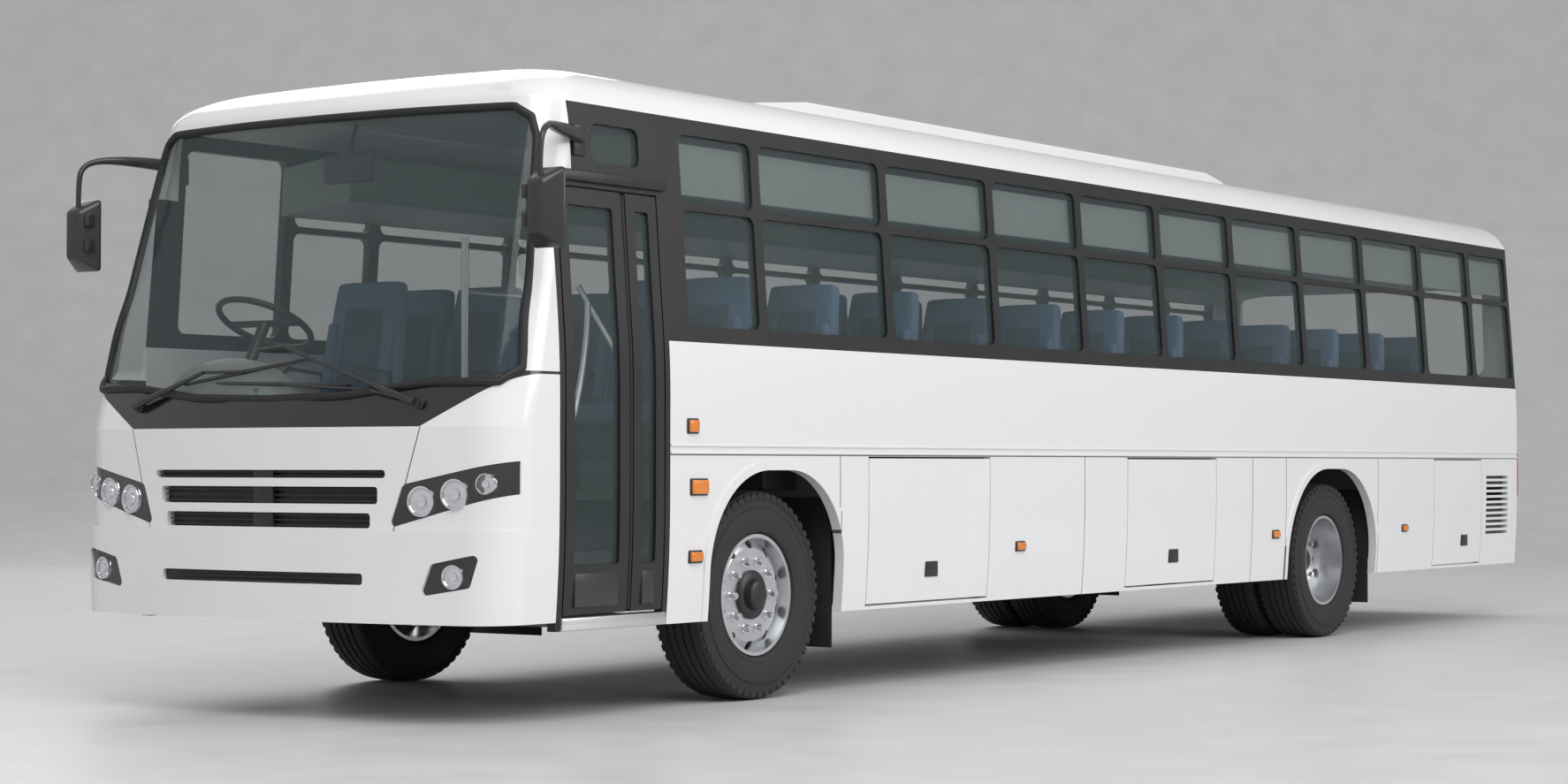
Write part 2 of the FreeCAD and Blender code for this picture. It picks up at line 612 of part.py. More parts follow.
def rear_end():
    panel = tail(SKIRT_Z, RAIL_Z)
    lid_span = ((-900.0, 900.0), (SKIRT_Z + 300.0, 1400.0))
    opening = box(lid_span[0], (-BEYOND, REAR_CAP - 20.0), lid_span[1])
    view = window("y", (-1000.0, 1000.0), (1800.0, 2450.0), -BEYOND, REAR_CAP - 20.0, 80.0)
    export("rear_panel", place_tail(cut(panel, [opening, view])))
    view = window("y", (-1000.0 + SEAT_GAP, 1000.0 - SEAT_GAP), (1800.0 + SEAT_GAP, 2450.0 - SEAT_GAP),
                  -BEYOND, REAR_CAP - 20.0, 80.0)
    export("rear_window", place_tail(tail(SKIRT_Z, RAIL_Z, -GLASS_SET, GLASS, REAR_CAP - 20.0).common(view)))
    gap = DOOR_GAP
    inner = box((lid_span[0][0] + gap, lid_span[0][1] - gap), (-BEYOND, REAR_CAP - 20.0),
                (lid_span[1][0] + gap, lid_span[1][1] - gap))
    export("engine_lid", place_tail(tail(SKIRT_Z, RAIL_Z, 0.0, WALL, REAR_CAP - 20.0).common(inner)))
    cap = end_wall(roof_heights(), REAR_CAP + BEYOND, REAR_CAP, rear_y, REAR_CORNER_R, REAR_BULGE_R,
                   inner_heights=roof_heights(WALL))
    export("rear_cap", place_tail(cap))
    lamp = place_tail(tail(900.0, 1230.0, 6.0, 6.0, REAR_CAP - 40.0)).common(
        box((1080.0, HALF + BEYOND), (REAR - BEYOND, REAR + BEYOND), (0.0, RAIL_Z)))
    export("tail_lamps", lamp, mirrored(lamp))


def entrance():
    z = (DOOR_SILL_Z, DOOR_HEAD_Z)
    middle = POST_Y + POST + FRONT_LEAF
    leaves = {"front_door": (POST_Y + POST, middle), "rear_door": (middle + LEAF_GAP, DOOR_END - POST)}
    frame = side_slab((POST_Y, DOOR_END), (SKIRT_Z, RAIL_Z)).cut(quarter_corner())
    hole = box((HALF - 4 * WALL, HALF + BEYOND), (POST_Y + POST - DOOR_GAP, DOOR_END - POST + DOOR_GAP),
               (z[0] - DOOR_GAP, z[1] + DOOR_GAP))
    quarter = ((POST_Y + 300.0, DOOR_END - 150.0), (DOOR_HEAD_Z + 125.0, RAIL_Z - 85.0))
    light = window("x", *quarter, HALF - 5 * WALL, HALF + BEYOND)
    export("entrance_frame", frame.cut(hole).cut(light))
    export("quarter_window", pane(*quarter))
    for name, span in leaves.items():
        leaf = side_slab(span, z, 0.0, LEAF)
        glass = ((span[0] + LEAF_RIM, span[1] - LEAF_RIM), (z[0] + 215.0, z[1] - 75.0))
        leaf = leaf.cut(window("x", glass[0], glass[1], HALF - 5 * WALL, HALF + BEYOND, 15.0))
        export(name, leaf)
        opening = window("x", *[(s[0] + SEAT_GAP, s[1] - SEAT_GAP) for s in glass],
                         HALF - 5 * WALL, HALF + BEYOND, 15.0)
        export(name + "_glass", side_slab(*glass, GLASS_SET, GLASS).common(opening))


# ---- chassis ---------------------------------------------------------------------------------
def chassis():
    low = FRAME_TOP - FRAME_RAIL[1]
    span = (FRONT + 180.0, REAR - 200.0)
    rail_inner = RAIL_X - FRAME_RAIL[0]
    rails = [box(x, span, (low, FRAME_TOP)) for x in ((-RAIL_X, -rail_inner), (rail_inner, RAIL_X))]
    export("frame_rails", *rails)
    cross = [box((-rail_inner, rail_inner), (y, y + 90.0), (low + 60.0, FRAME_TOP - 40.0))
             for y in (span[0], FRONT_AXLE - 700.0, FRONT_AXLE + 900.0, 0.0, REAR_AXLE - 900.0, REAR_AXLE + 800.0)]
    export("cross_members", *cross)
    plate_z = (low + 60.0 - TOW_PLATE[1], low + 60.0)
    tow = box((-TOW_PLATE[0] / 2, TOW_PLATE[0] / 2), (span[0], span[0] + 90.0 + 2 * TOW_SET), plate_z)
    pin_hole = cylinder("z", (0.0, span[0] + 90.0 + TOW_SET), plate_z[0] - 1.0, plate_z[1] + 1.0, TOW_PIN_R)
    export("tow_plate", tow.cut(pin_hole))
    outriggers = []
    for y in (POST_Y - 60.0, FRONT_AXLE + 760.0, lids()["front_locker"][1] + 15.0,
              lids()["middle_locker"][0] - 75.0, lids()["middle_locker"][1] + 15.0, REAR_AXLE + 760.0, REAR - 420.0):
        outriggers.append(box((RAIL_X, HALF - TUCK - WALL), (y, y + 60.0), (BAY_TOP, FRAME_TOP)))
    export("outriggers", *(outriggers + [mirrored(o) for o in outriggers]))
    edge = HALF - WALL - FLOOR_SET
    plate = box((-edge, edge), (POST_Y, TAIL_Y), (FRAME_TOP, FLOOR_Z))
    well = box((RAIL_X + 250.0, HALF), (POST_Y - 1.0, DOOR_END + 1.0), (SKIRT_Z, FLOOR_Z + 1.0))
    solid = fused([plate] + wheel_boxes(HOUSING_SHELL))
    export("floor", solid.cut(Part.makeCompound(wheel_boxes(0.0) + [well])))
    x = (RAIL_X + 251.0, HALF - WALL - TUCK - 1.0)
    y = (POST_Y + 2.0, DOOR_END - 2.0)
    stairs = [(x[1], SKIRT_Z + 20.0), (x[1], SKIRT_Z + 45.0), (x[1] - 280.0, SKIRT_Z + 45.0),
              (x[1] - 280.0, 720.0), (x[0] + 25.0, 720.0), (x[0] + 25.0, FLOOR_Z), (x[0], FLOOR_Z),
              (x[0], 695.0), (x[1] - 305.0, 695.0), (x[1] - 305.0, SKIRT_Z + 20.0)]
    export("entrance_steps", prism("y", stairs, *y))
    bays = []
    for name in ("front_locker", "middle_locker"):
        span = lids()[name]
        outer = box((LUGGAGE_INNER_X, HALF - WALL - TUCK - 12.0), (span[0] - 15.0, span[1] + 15.0),
                    (LUGGAGE_FLOOR_Z - SHEET, BAY_TOP))
        inner = box((LUGGAGE_INNER_X + SHEET, HALF), (span[0] - 15.0 + SHEET, span[1] + 15.0 - SHEET),
                    (LUGGAGE_FLOOR_Z, FRAME_TOP))
        bays.append(outer.cut(inner))
    export("luggage_bays", *(bays + [mirrored(bay) for bay in bays]))
    y = REAR - 400.0 - ENGINE[1]
    export("engine", box((-RAIL_X + FRAME_RAIL[0], RAIL_X - FRAME_RAIL[0]), (y, y + ENGINE[1]),
                         (ENGINE_Z, ENGINE_Z + ENGINE[2])))
    springs = []
    for axle in (FRONT_AXLE, REAR_AXLE):
        for sign in (1, -1):
            x = (sign * (RAIL_X - 40.0) - SPRING_W / 2, sign * (RAIL_X - 40.0) + SPRING_W / 2)
            leaf = prism("x", [(axle - 700.0, low - 40.0), (axle - 700.0, low), (axle - 640.0, low),
                               (axle, TYRE_R + 120.0), (axle + 640.0, low), (axle + 700.0, low),
                               (axle + 700.0, low - 40.0), (axle, TYRE_R + 75.0)], *x)
            springs.append(leaf)
    export("leaf_springs", *springs)
    eye = [cylinder("z", (sign * KINGPIN_X, FRONT_AXLE), TYRE_R - 60.0, TYRE_R + 60.0, 45.0) for sign in (1, -1)]
    beam = fused([box((-KINGPIN_X, KINGPIN_X), (FRONT_AXLE - 45.0, FRONT_AXLE + 45.0), (TYRE_R - 50.0, TYRE_R + 50.0)),
                  box((-RAIL_X, RAIL_X), (FRONT_AXLE - 60.0, FRONT_AXLE + 60.0), (TYRE_R - 50.0, TYRE_R + 75.0))] + eye)
    bores = [cylinder("z", (sign * KINGPIN_X, FRONT_AXLE), 0.0, FLOOR_Z, KINGPIN_R + 0.5) for sign in (1, -1)]
    trims = [box((KINGPIN_X, KINGPIN_X + 100.0), (FRONT_AXLE - 100.0, FRONT_AXLE + 100.0), (TYRE_R - 60.0, TYRE_R + 60.0))]
    trims = [t.cut(eye[0]) for t in trims]
    export("front_axle", cut(beam, bores + trims + [mirrored(t) for t in trims]))
    tube_x = REAR_FACE_X - TYRE_W * 2 - TWIN_GAP - 40.0
    pieces = [cylinder("x", (REAR_AXLE, TYRE_R), -tube_x, tube_x, 75.0),
              turned([(-230.0, 0.0), (230.0, 0.0), (230.0, 70.0), (120.0, 185.0), (40.0, 210.0), (-40.0, 210.0),
                      (-120.0, 185.0), (-230.0, 70.0)], REAR_AXLE, TYRE_R),
              cylinder("x", (REAR_AXLE, TYRE_R), -REAR_FACE_X + 180.0, REAR_FACE_X - 180.0, 50.0),
              cylinder("y", (0.0, TYRE_R), REAR_AXLE, REAR_AXLE + 330.0, 80.0)]
    pads = [box((s * (RAIL_X - 40.0) - 60.0, s * (RAIL_X - 40.0) + 60.0), (REAR_AXLE - 60.0, REAR_AXLE + 60.0),
                (TYRE_R, TYRE_R + 75.0)) for s in (1, -1)]
    export("rear_axle", fused(pieces + pads))


def wheel_boxes(shell):
    """Room over each wheel, or with a shell the outside of its housing."""
    edge = HALF - WALL - FLOOR_SET
    boxes = []
    for axle, reach in ((FRONT_AXLE, FRONT_ARCH), (REAR_AXLE, REAR_ARCH)):
        y = (axle - reach[0] - 60.0 - shell, axle + reach[1] + 20.0 + shell)
        over = box((HOUSING_X - shell, edge), y, (FRAME_TOP, ARCH_TOP_Z + 20.0 + shell))
        boxes += [over, mirrored(over)]
    return boxes


def knuckle():
    """Left steering knuckle with its kingpin and spindle."""
    x = KINGPIN_X
    ears = [cylinder("z", (x, FRONT_AXLE), low, low + 30.0, 45.0) for low in (TYRE_R - 100.0, TYRE_R + 70.0)]
    links = [box((x, x + 80.0), (FRONT_AXLE - 45.0, FRONT_AXLE + 45.0), (low, low + 30.0))
             for low in (TYRE_R - 100.0, TYRE_R + 70.0)]
    web = box((x + 55.0, x + 80.0), (FRONT_AXLE - 45.0, FRONT_AXLE + 45.0), (TYRE_R - 100.0, TYRE_R + 100.0))
    pin = cylinder("z", (x, FRONT_AXLE), TYRE_R - 100.0, TYRE_R + 100.0, KINGPIN_R)
    spindle = cylinder("x", (FRONT_AXLE, TYRE_R), x + 70.0, FRONT_FACE_X - 40.0, SPINDLE_R)
    return fused(ears + links + [web, pin, spindle])


def tyre(outer):
    """Tyre whose outer side is at x = outer, turned about its axle at the origin."""
    half = TYRE_W / 2
    centre = outer - half
    profile = [(centre - RIM_W / 2 + 8.0, RIM_R), (centre - half, RIM_R + 60.0), (centre - half, TYRE_R - 70.0),
               (centre - half + 25.0, TYRE_R - 8.0), (centre - half + 60.0, TYRE_R), (centre + half - 60.0, TYRE_R),
               (centre + half - 25.0, TYRE_R - 8.0), (centre + half, TYRE_R - 70.0), (centre + half, RIM_R + 60.0),
               (centre + RIM_W / 2 - 8.0, RIM_R)]
    return profile


def rim(outer, disc_x, hub):
    """Rim with its disc; disc_x is the disc's outer face and hub the (bore, length) of its hub."""
    centre = outer - TYRE_W / 2
    half = RIM_W / 2
    inner_r = RIM_R - 18.0
    barrel = [(centre - half, inner_r), (centre + half, inner_r), (centre + half, RIM_R - SEAT_GAP),
              (centre - half, RIM_R - SEAT_GAP)]
    disc = [(disc_x - 14.0, hub[0]), (disc_x, hub[0]), (disc_x, 225.0), (disc_x - 30.0, inner_r + 2.0),
            (disc_x - 44.0, inner_r + 2.0), (disc_x - 14.0, 222.0)]
    return barrel, disc


def wheels():
    stations = {"front": (FRONT_AXLE, FRONT_FACE_X), "rear": (REAR_AXLE, REAR_FACE_X)}
    for place_name, (axle, face) in stations.items():
        front = place_name == "front"
        bore = (SPINDLE_R if front else 50.0) + 1.0
        faces = [face] if front else [face, face - TYRE_W - TWIN_GAP]
        tyres = [turned(tyre(f), axle, TYRE_R) for f in faces]
        disc_x = face - 60.0 if front else face - 200.0
        solids = []
        for i, f in enumerate(faces):
            mount = disc_x if i == 0 else disc_x - 14.0
            for profile in rim(f, mount, (bore, 0.0)):
                solids.append(turned(profile, axle, TYRE_R))
        reach = (disc_x - 150.0, disc_x + (10.0 if front else 45.0))
        solids.append(turned([(reach[0], bore), (reach[1], bore), (reach[1], 105.0), (reach[0], 105.0)], axle, TYRE_R))
        for i in range(STUDS):
            angle = 2 * math.pi * i / STUDS
            centre = (axle + STUD_CIRCLE_R * math.cos(angle), TYRE_R + STUD_CIRCLE_R * math.sin(angle))
            solids.append(cylinder("x", centre, disc_x - 5.0, disc_x + 38.0, STUD_R))
        wheel = fused(solids)
        holes = [cylinder("x", (axle + 245.0 * math.cos(a), TYRE_R + 245.0 * math.sin(a)), disc_x - 60.0, disc_x + 5.0, 24.0)
                 for a in [2 * math.pi * (i + 0.5) / STUDS for i in range(STUDS)]]
        wheel = cut(wheel, holes)
        export("left_%s_wheel" % place_name, wheel)
        export("right_%s_wheel" % place_name, mirrored(wheel))
        export("left_%s_tyre" % place_name, *tyres)
        export("right_%s_tyre" % place_name, *[mirrored(t) for t in tyres])
    export("left_knuckle", knuckle())
    export("right_knuckle", mirrored(knuckle()))


# ---- inside ----------------------------------------------------------------------------------------
def seat(x, y, width):
    """Seat for one or two people whose back faces +Y, standing on the floor."""
    base = box((x - width / 4, x + width / 4), (y - 180.0, y + 150.0), (FLOOR_Z, FLOOR_Z + SEAT_Z - 100.0))
    cushion = box((x - width / 2, x + width / 2), (y - 230.0, y + 230.0), (FLOOR_Z + SEAT_Z - 110.0, FLOOR_Z + SEAT_Z))
    back = prism("x", [(y + 150.0, FLOOR_Z + SEAT_Z - 20.0), (y + 240.0, FLOOR_Z + SEAT_Z - 20.0),
                       (y + 350.0, FLOOR_Z + BACK_Z), (y + 270.0, FLOOR_Z + BACK_Z)], x - width / 2, x + width / 2)
    return fused([base, cushion, back])


def inside():
    first = DOOR_END + 560.0
    middle = AISLE + SEAT_W / 2
    rows = [seat(middle, first + SEAT_PITCH * i, SEAT_W) for i in range(SEAT_ROWS)]
    rows = [row.cut(Part.makeCompound(wheel_boxes(HOUSING_SHELL))) for row in rows]
    export("passenger_seats", *(rows + [mirrored(row) for row in rows]))
    export("driver_seat", seat(-700.0, POST_Y + DRIVER_SET, 480.0))
    desk = prism("x", [(FRONT + 260.0, FLOOR_Z), (POST_Y + 90.0, FLOOR_Z), (POST_Y + 60.0, 1380.0, 40.0),
                       (FRONT + 300.0, 1330.0, 40.0)], -HALF + 240.0, HALF - 330.0)
    binnacle = box((-1000.0, -400.0), (POST_Y - 120.0, POST_Y + 50.0), (1340.0, 1480.0))
    export("dashboard", fused([desk, binnacle]))
    ring = Part.makeTorus(230.0, 16.0)
    spoke = Part.makeBox(440.0, 40.0, 14.0, Vector(-220.0, -20.0, -7.0))
    column = Part.makeCylinder(28.0, COLUMN, Vector(0, 0, -COLUMN))
    wheel = fused([ring, spoke, column])
    wheel.rotate(Vector(0, 0, 0), Vector(1, 0, 0), -28.0)
    wheel.translate(Vector(-700.0, POST_Y + 240.0, 1800.0))
    export("steering_wheel", wheel.cut(fused([desk, binnacle])))
    span = (DOOR_END + 60.0, TAIL_Y - 40.0)
    z = (2380.0, 2620.0)
    edge = [half_width(v) - WALL for v in z]
    duct = prism("y", [(edge[0], z[0]), (edge[1], z[1]), (edge[1] - 430.0, z[1] + 60.0, 40.0),
                       (edge[0] - 480.0, z[0] + 60.0, 40.0)], *span)
    export("overhead_ducts", duct, mirrored(duct))
    rail_x = RAIL_X + 200.0
    rails = [cylinder("z", (x, y), FLOOR_Z, 2150.0, 17.0) for x, y in ((rail_x, POST_Y + 150.0), (rail_x, DOOR_END + 40.0))]
    bars = [cylinder("y", (rail_x, 1900.0), POST_Y + 140.0, DOOR_END + 50.0, 15.0)]
    export("grab_rails", fused(rails + bars))


def outside():
    y, z = QUARTER_Y + 60.0, 2560.0
    root = half_width(z)
    reach = y - MIRROR_Y
    bracket = box((root - 20.0, root + 30.0), (y - 45.0, y + 45.0), (z - 70.0, z + 70.0))
    bracket = bracket.cut(side_slab((y - 100.0, y + 100.0), (z - 100.0, z + 100.0), -SEAT_GAP, 2 * WALL))
    arm = tube([Vector(root + 20.0, y, z), Vector(root + 110.0, y - reach + 40.0, z),
                Vector(root + 190.0, y - reach, z - 60.0), Vector(root + 190.0, y - reach, z - 420.0)], 14.0, 25.0)
    head = window("x", (MIRROR_Y - 30.0, MIRROR_Y + 90.0), (2040.0, 2404.0), -100.0, 100.0, 40.0)
    head.translate(Vector(root + 190.0, 0, 0))
    mirror = fused([bracket, arm, head])
    export("mirrors", mirror, mirrored(mirror))
    flaps = []
    for axle, reach, face, low in ((FRONT_AXLE, FRONT_ARCH, FRONT_FACE_X, 220.0),
                                   (REAR_AXLE, REAR_ARCH, REAR_FACE_X, 200.0)):
        flap_y = (axle + reach[1] + 10.0, axle + reach[1] + 20.0)
        flap = box((face - 580.0, min(face, HALF - WALL - TUCK - 5.0)), flap_y, (low, FRAME_TOP))
        flaps += [flap, mirrored(flap)]
    export("mud_flaps", *flaps)
    wipers = []
    for x, reach in ((858.0, -820.0), (-858.0, 560.0)):
        z = COWL_Z + 106.0
        z_top = z + 210.0
        near = front_y(z) + x ** 2 / (2 * BULGE_R)
        far_x = x + reach
        far = front_y(z_top) + far_x ** 2 / (2 * BULGE_R)
        pivot = cylinder("y", (x, z), near - 42.0, near + 12.0, 22.0)
        start, end = Vector(x, near - 32.0, z), Vector(far_x, far - 32.0, z_top)
        arm = Part.makeCylinder(9.0, (end - start).Length, start, end - start)
        wipers.append(fused([pivot, arm]).cut(end_solid(wall_heights(COWL_Z, RAIL_Z), 0.0, CAP_Y, front_y,
                                                        CORNER_R, BULGE_R)))
    export("wipers", *wipers)


def main():
    os.makedirs("parts", exist_ok=True)
    for make in (body, front_end, rear_end, entrance, chassis, wheels, inside, outside):
        make()


main()
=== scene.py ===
"""Looks of a twelve-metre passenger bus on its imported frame."""
import math

import bpy
from bpy.props import FloatProperty, FloatVectorProperty, PointerProperty
from mathutils import Matrix, Vector


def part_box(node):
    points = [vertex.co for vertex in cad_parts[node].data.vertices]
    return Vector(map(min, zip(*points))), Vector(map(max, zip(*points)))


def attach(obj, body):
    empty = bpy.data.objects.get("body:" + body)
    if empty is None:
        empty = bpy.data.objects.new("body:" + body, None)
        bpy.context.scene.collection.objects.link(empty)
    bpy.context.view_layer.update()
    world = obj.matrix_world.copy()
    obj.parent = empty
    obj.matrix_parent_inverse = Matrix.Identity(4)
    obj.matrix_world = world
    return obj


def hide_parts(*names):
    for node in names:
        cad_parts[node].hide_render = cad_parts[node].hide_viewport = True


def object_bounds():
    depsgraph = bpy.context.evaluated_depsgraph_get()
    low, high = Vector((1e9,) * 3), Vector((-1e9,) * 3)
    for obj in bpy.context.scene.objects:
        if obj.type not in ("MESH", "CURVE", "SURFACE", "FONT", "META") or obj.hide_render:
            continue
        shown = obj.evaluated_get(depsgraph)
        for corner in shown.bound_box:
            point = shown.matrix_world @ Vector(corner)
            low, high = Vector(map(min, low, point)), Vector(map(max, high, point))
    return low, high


bl_info = {
    "name": "Passenger bus",
    "version": (1, 0, 0),
    "blender": (4, 5, 0),
    "location": "View3D > Sidebar > Bus",
    "description": "Finishes and details of a twelve-metre passenger bus",
    "category": "Object",
}

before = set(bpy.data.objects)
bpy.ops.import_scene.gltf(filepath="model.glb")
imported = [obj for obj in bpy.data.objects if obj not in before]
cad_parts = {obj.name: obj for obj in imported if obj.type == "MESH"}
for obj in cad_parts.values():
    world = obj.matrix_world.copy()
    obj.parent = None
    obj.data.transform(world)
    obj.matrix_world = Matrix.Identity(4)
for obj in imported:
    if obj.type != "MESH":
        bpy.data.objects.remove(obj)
CAD_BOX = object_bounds()
LIP_PROUD = 0.008            # how far the wheel arches' lips stand out of the sides
CAD_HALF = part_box("left_side_panel")[1][0] - LIP_PROUD
SKIRT_JOINTS = (-3.299, -0.807, 1.343, 1.828, 3.267)
BELT_FOOT = 1.172            # where the skirt panels end under the belt moulding
WHEEL_STUDS = 10
STUD_CIRCLE = 0.1675
DISC_X = {"front": 1.155, "rear": 1.045}      # outer face of the wheels' discs
VIEW_TURN = 0.602842         # the way the camera faces, about Z


# ---- shader maths ---------------------------------------------------------------
class Sock:
    """A number socket that adds Math nodes when it is used in an expression."""

    def __init__(self, kit, socket):
        self.kit, self.socket = kit, socket

    def maths(self, operation, other, swap=False):
        pair = (other, self) if swap else (self, other)
        return self.kit.node("ShaderNodeMath", {"operation": operation}, {0: pair[0], 1: pair[1]})

    def __add__(self, other):
        return self.maths("ADD", other)

    def __sub__(self, other):
        return self.maths("SUBTRACT", other)

    def __rsub__(self, other):
        return self.maths("SUBTRACT", other, True)

    def __mul__(self, other):
        return self.maths("MULTIPLY", other)

    def above(self, limit):
        return self.maths("GREATER_THAN", limit)

    def below(self, limit):
        return self.maths("LESS_THAN", limit)

    def size(self):
        return self.kit.node("ShaderNodeMath", {"operation": "ABSOLUTE"}, {0: self})

    def larger(self, other):
        return self.maths("MAXIMUM", other)

    __radd__ = __add__
    __rmul__ = __mul__


class Finish:
    """A material being built."""

    def __init__(self, name):
        self.material = bpy.data.materials.new(name)
        self.material.use_nodes = True
        self.tree = self.material.node_tree
        self.shader = self.tree.nodes["Principled BSDF"]
        self.place = Sock(self, self.tree.nodes.new("ShaderNodeTexCoord").outputs["Object"])

    def node(self, kind, settings, values, output=0):
        made = self.tree.nodes.new(kind)
        for key, value in settings.items():
            if key == "stops":
                for stop, (position, colour) in zip(made.color_ramp.elements, value):
                    stop.position, stop.color = position, colour
            else:
                setattr(made, key, value)
        for key, value in values.items():
            self.feed(made.inputs[key], value)
        return Sock(self, made.outputs[output])

    def feed(self, socket, value):
        if isinstance(value, Sock):
            self.tree.links.new(value.socket, socket)
        else:
            socket.default_value = value

    def set(self, **values):
        for key, value in values.items():
            self.feed(self.shader.inputs[key.replace("_", " ")], value)
        return self

    def axes(self):
        """The X, Y and Z of a point, in metres."""
        split = self.tree.nodes.new("ShaderNodeSeparateXYZ")
        self.tree.links.new(self.place.socket, split.inputs[0])
        return [Sock(self, output) for output in split.outputs]

    def mix(self, factor, low, high):
        made = self.tree.nodes.new("ShaderNodeMix")
        made.data_type = "RGBA"
        for socket, value in ((made.inputs[0], factor), (made.inputs[6], low), (made.inputs[7], high)):
            self.feed(socket, value if isinstance(value, Sock) or socket is made.inputs[0] else (*value, 1.0))
        return Sock(self, made.outputs[2])

    def noise(self, scale, detail=3.0):
        return self.node("ShaderNodeTexNoise", {}, {"Vector": self.place, "Scale": scale, "Detail": detail})

    def ramp(self, factor, low, high, start=0.3, end=0.7):
        stops = [(start, (*low, 1.0)), (end, (*high, 1.0))]
        return self.node("ShaderNodeValToRGB", {"stops": stops}, {0: factor})

    def level(self, factor, low, high):
        return self.node("ShaderNodeMapRange", {}, {"Value": factor, "To Min": low, "To Max": high})

    def bump(self, height, distance, strength=0.5):
        return self.node("ShaderNodeBump", {}, {"Height": height, "Distance": distance, "Strength": strength})


def plain(name, colour, rough, metal=0.0, vary=0.06, grain=0.0, scale=90.0, **more):
    """Finish with soft colour and roughness variation and an optional fine grain."""
    made = Finish(name)
    cloud = made.noise(2.3)
    low = tuple(c * (1 - vary) for c in colour)
    high = tuple(min(1.0, c * (1 + vary)) for c in colour)
    made.set(Base_Color=made.ramp(cloud, low, high), Metallic=metal,
             Roughness=made.level(cloud, rough * 0.85, rough * 1.15), **more)
    if grain:
        made.set(Normal=made.bump(made.noise(scale, 2.0), grain))
    return made.material


def glass(name, colour, alpha):
    """Thin tinted glass."""
    made = Finish(name)
    cloud = made.noise(1.5)
    made.set(Base_Color=made.ramp(cloud, colour, tuple(c * 1.1 for c in colour)), Roughness=0.03,
             Alpha=alpha, Specular_IOR_Level=0.7)
    return made.material


def side_paint(white):
    """White paint with the thin joints between the skirt panels."""
    made = Finish("side_paint")
    _, y, z = made.axes()
    lines = None
    for place in SKIRT_JOINTS:
        line = (y - place).size().below(0.0035)
        lines = line if lines is None else lines.larger(line)
    lines = lines * z.below(BELT_FOOT)
    lines = lines.larger((z - BELT_FOOT).size().below(0.003))
    made.set(Base_Color=made.mix(lines, white, (0.12, 0.12, 0.12)),
             Roughness=made.level(made.noise(2.3), 0.18, 0.26), Coat_Weight=0.6, Coat_Roughness=0.05,
             Normal=made.bump(1 - lines, 0.002))
    return made.material


def front_paint(white):
    """White paint with the two joints that run from the cowl's corners down beside the grille."""
    made = Finish("front_paint")
    x, _, z = made.axes()
    lines = (x.size() - 0.88 + (1.29 - z) * 0.3).size().below(0.003)
    made.set(Base_Color=made.mix(lines, white, (0.12, 0.12, 0.12)),
             Roughness=made.level(made.noise(2.3), 0.18, 0.26), Coat_Weight=0.6, Coat_Roughness=0.05,
             Normal=made.bump(1 - lines, 0.002))
    return made.material


def cowl_paint(white, trim):
    """White windscreen pillars over a black cowl whose foot rises to the corners."""
    made = Finish("cowl_paint")
    x, _, z = made.axes()
    foot = ((x.size() - 0.876) * 0.535).larger(0.0)
    mask = (z - foot).above(1.2905) * z.below(1.53)
    made.set(Base_Color=made.mix(mask, white, trim), Roughness=made.level(made.noise(2.3), 0.18, 0.26),
             Coat_Weight=0.6, Coat_Roughness=0.05)
    return made.material


class BusFinish(bpy.types.PropertyGroup):
    white: FloatVectorProperty(name="Body colour", description="Colour of the painted body", subtype="COLOR",
                               default=(0.80, 0.80, 0.81))
    trim: FloatVectorProperty(name="Trim colour", description="Colour of frames and trim", subtype="COLOR",
                              default=(0.010, 0.010, 0.011))
    seat: FloatVectorProperty(name="Seat colour", description="Colour of the seat cloth", subtype="COLOR",
                              default=(0.10, 0.165, 0.27))
    camera_lens: FloatProperty(name="Lens", description="Focal length on a 36 mm wide sensor", default=69.1)


# ---- modelling -------------------------------------------------------------------
def material_of(name, make, *values, **more):
    """A finish by name, made when it is first asked for."""
    return bpy.data.materials.get(name) or make(name, *values, **more)


def chrome():
    return material_of("bright_chrome", plain, (0.75, 0.76, 0.78), 0.08, 1.0, vary=0.03)


def black():
    return material_of("satin_black", plain, (0.016, 0.016, 0.018), 0.35, vary=0.2, grain=0.0004)


def rubber():
    return material_of("black_rubber", plain, (0.014, 0.014, 0.015), 0.6, vary=0.2, grain=0.0006)


def amber():
    return material_of("amber_lens", plain, (0.75, 0.21, 0.01), 0.12, vary=0.08, Coat_Weight=0.8)


def clear():
    return material_of("clear_lens", glass, (0.8, 0.82, 0.84), 0.14)


def alone():
    bpy.ops.object.select_all(action="DESELECT")


def settle(name, body, material, smooth=35.0):
    """Name the object just made, put its place in its mesh, shade it and let it ride."""
    piece = bpy.context.object
    piece.name = piece.data.name = name
    bpy.ops.object.transform_apply(location=True, rotation=True, scale=True)
    if smooth:
        bpy.ops.object.shade_smooth_by_angle(angle=math.radians(smooth))
    piece.data.materials.clear()
    piece.data.materials.append(material)
    if body:
        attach(piece, body)
    return piece


def modified(kind, **settings):
    """Add a modifier to the active object and apply it."""
    made = bpy.context.object.modifiers.new("step", kind)
    for key, value in settings.items():
        setattr(made, key, value)
    bpy.ops.object.modifier_apply(modifier=made.name)


def block(name, body, material, low, high, radius=0.004):
    """Block between two corners with rounded edges."""
    alone()
    low, high = Vector(low), Vector(high)
    bpy.ops.mesh.primitive_cube_add(size=1.0, location=(low + high) / 2)
    bpy.context.object.scale = high - low
    bpy.ops.object.transform_apply(location=True, rotation=True, scale=True)
    modified("BEVEL", width=radius, segments=3)
    return settle(name, body, material)


def joined(pieces, name):
    """Join finished pieces into one."""
    alone()
    for piece in pieces:
        piece.select_set(True)
    bpy.context.view_layer.objects.active = pieces[0]
    bpy.ops.object.join()
    pieces[0].name = pieces[0].data.name = name
    return pieces[0]


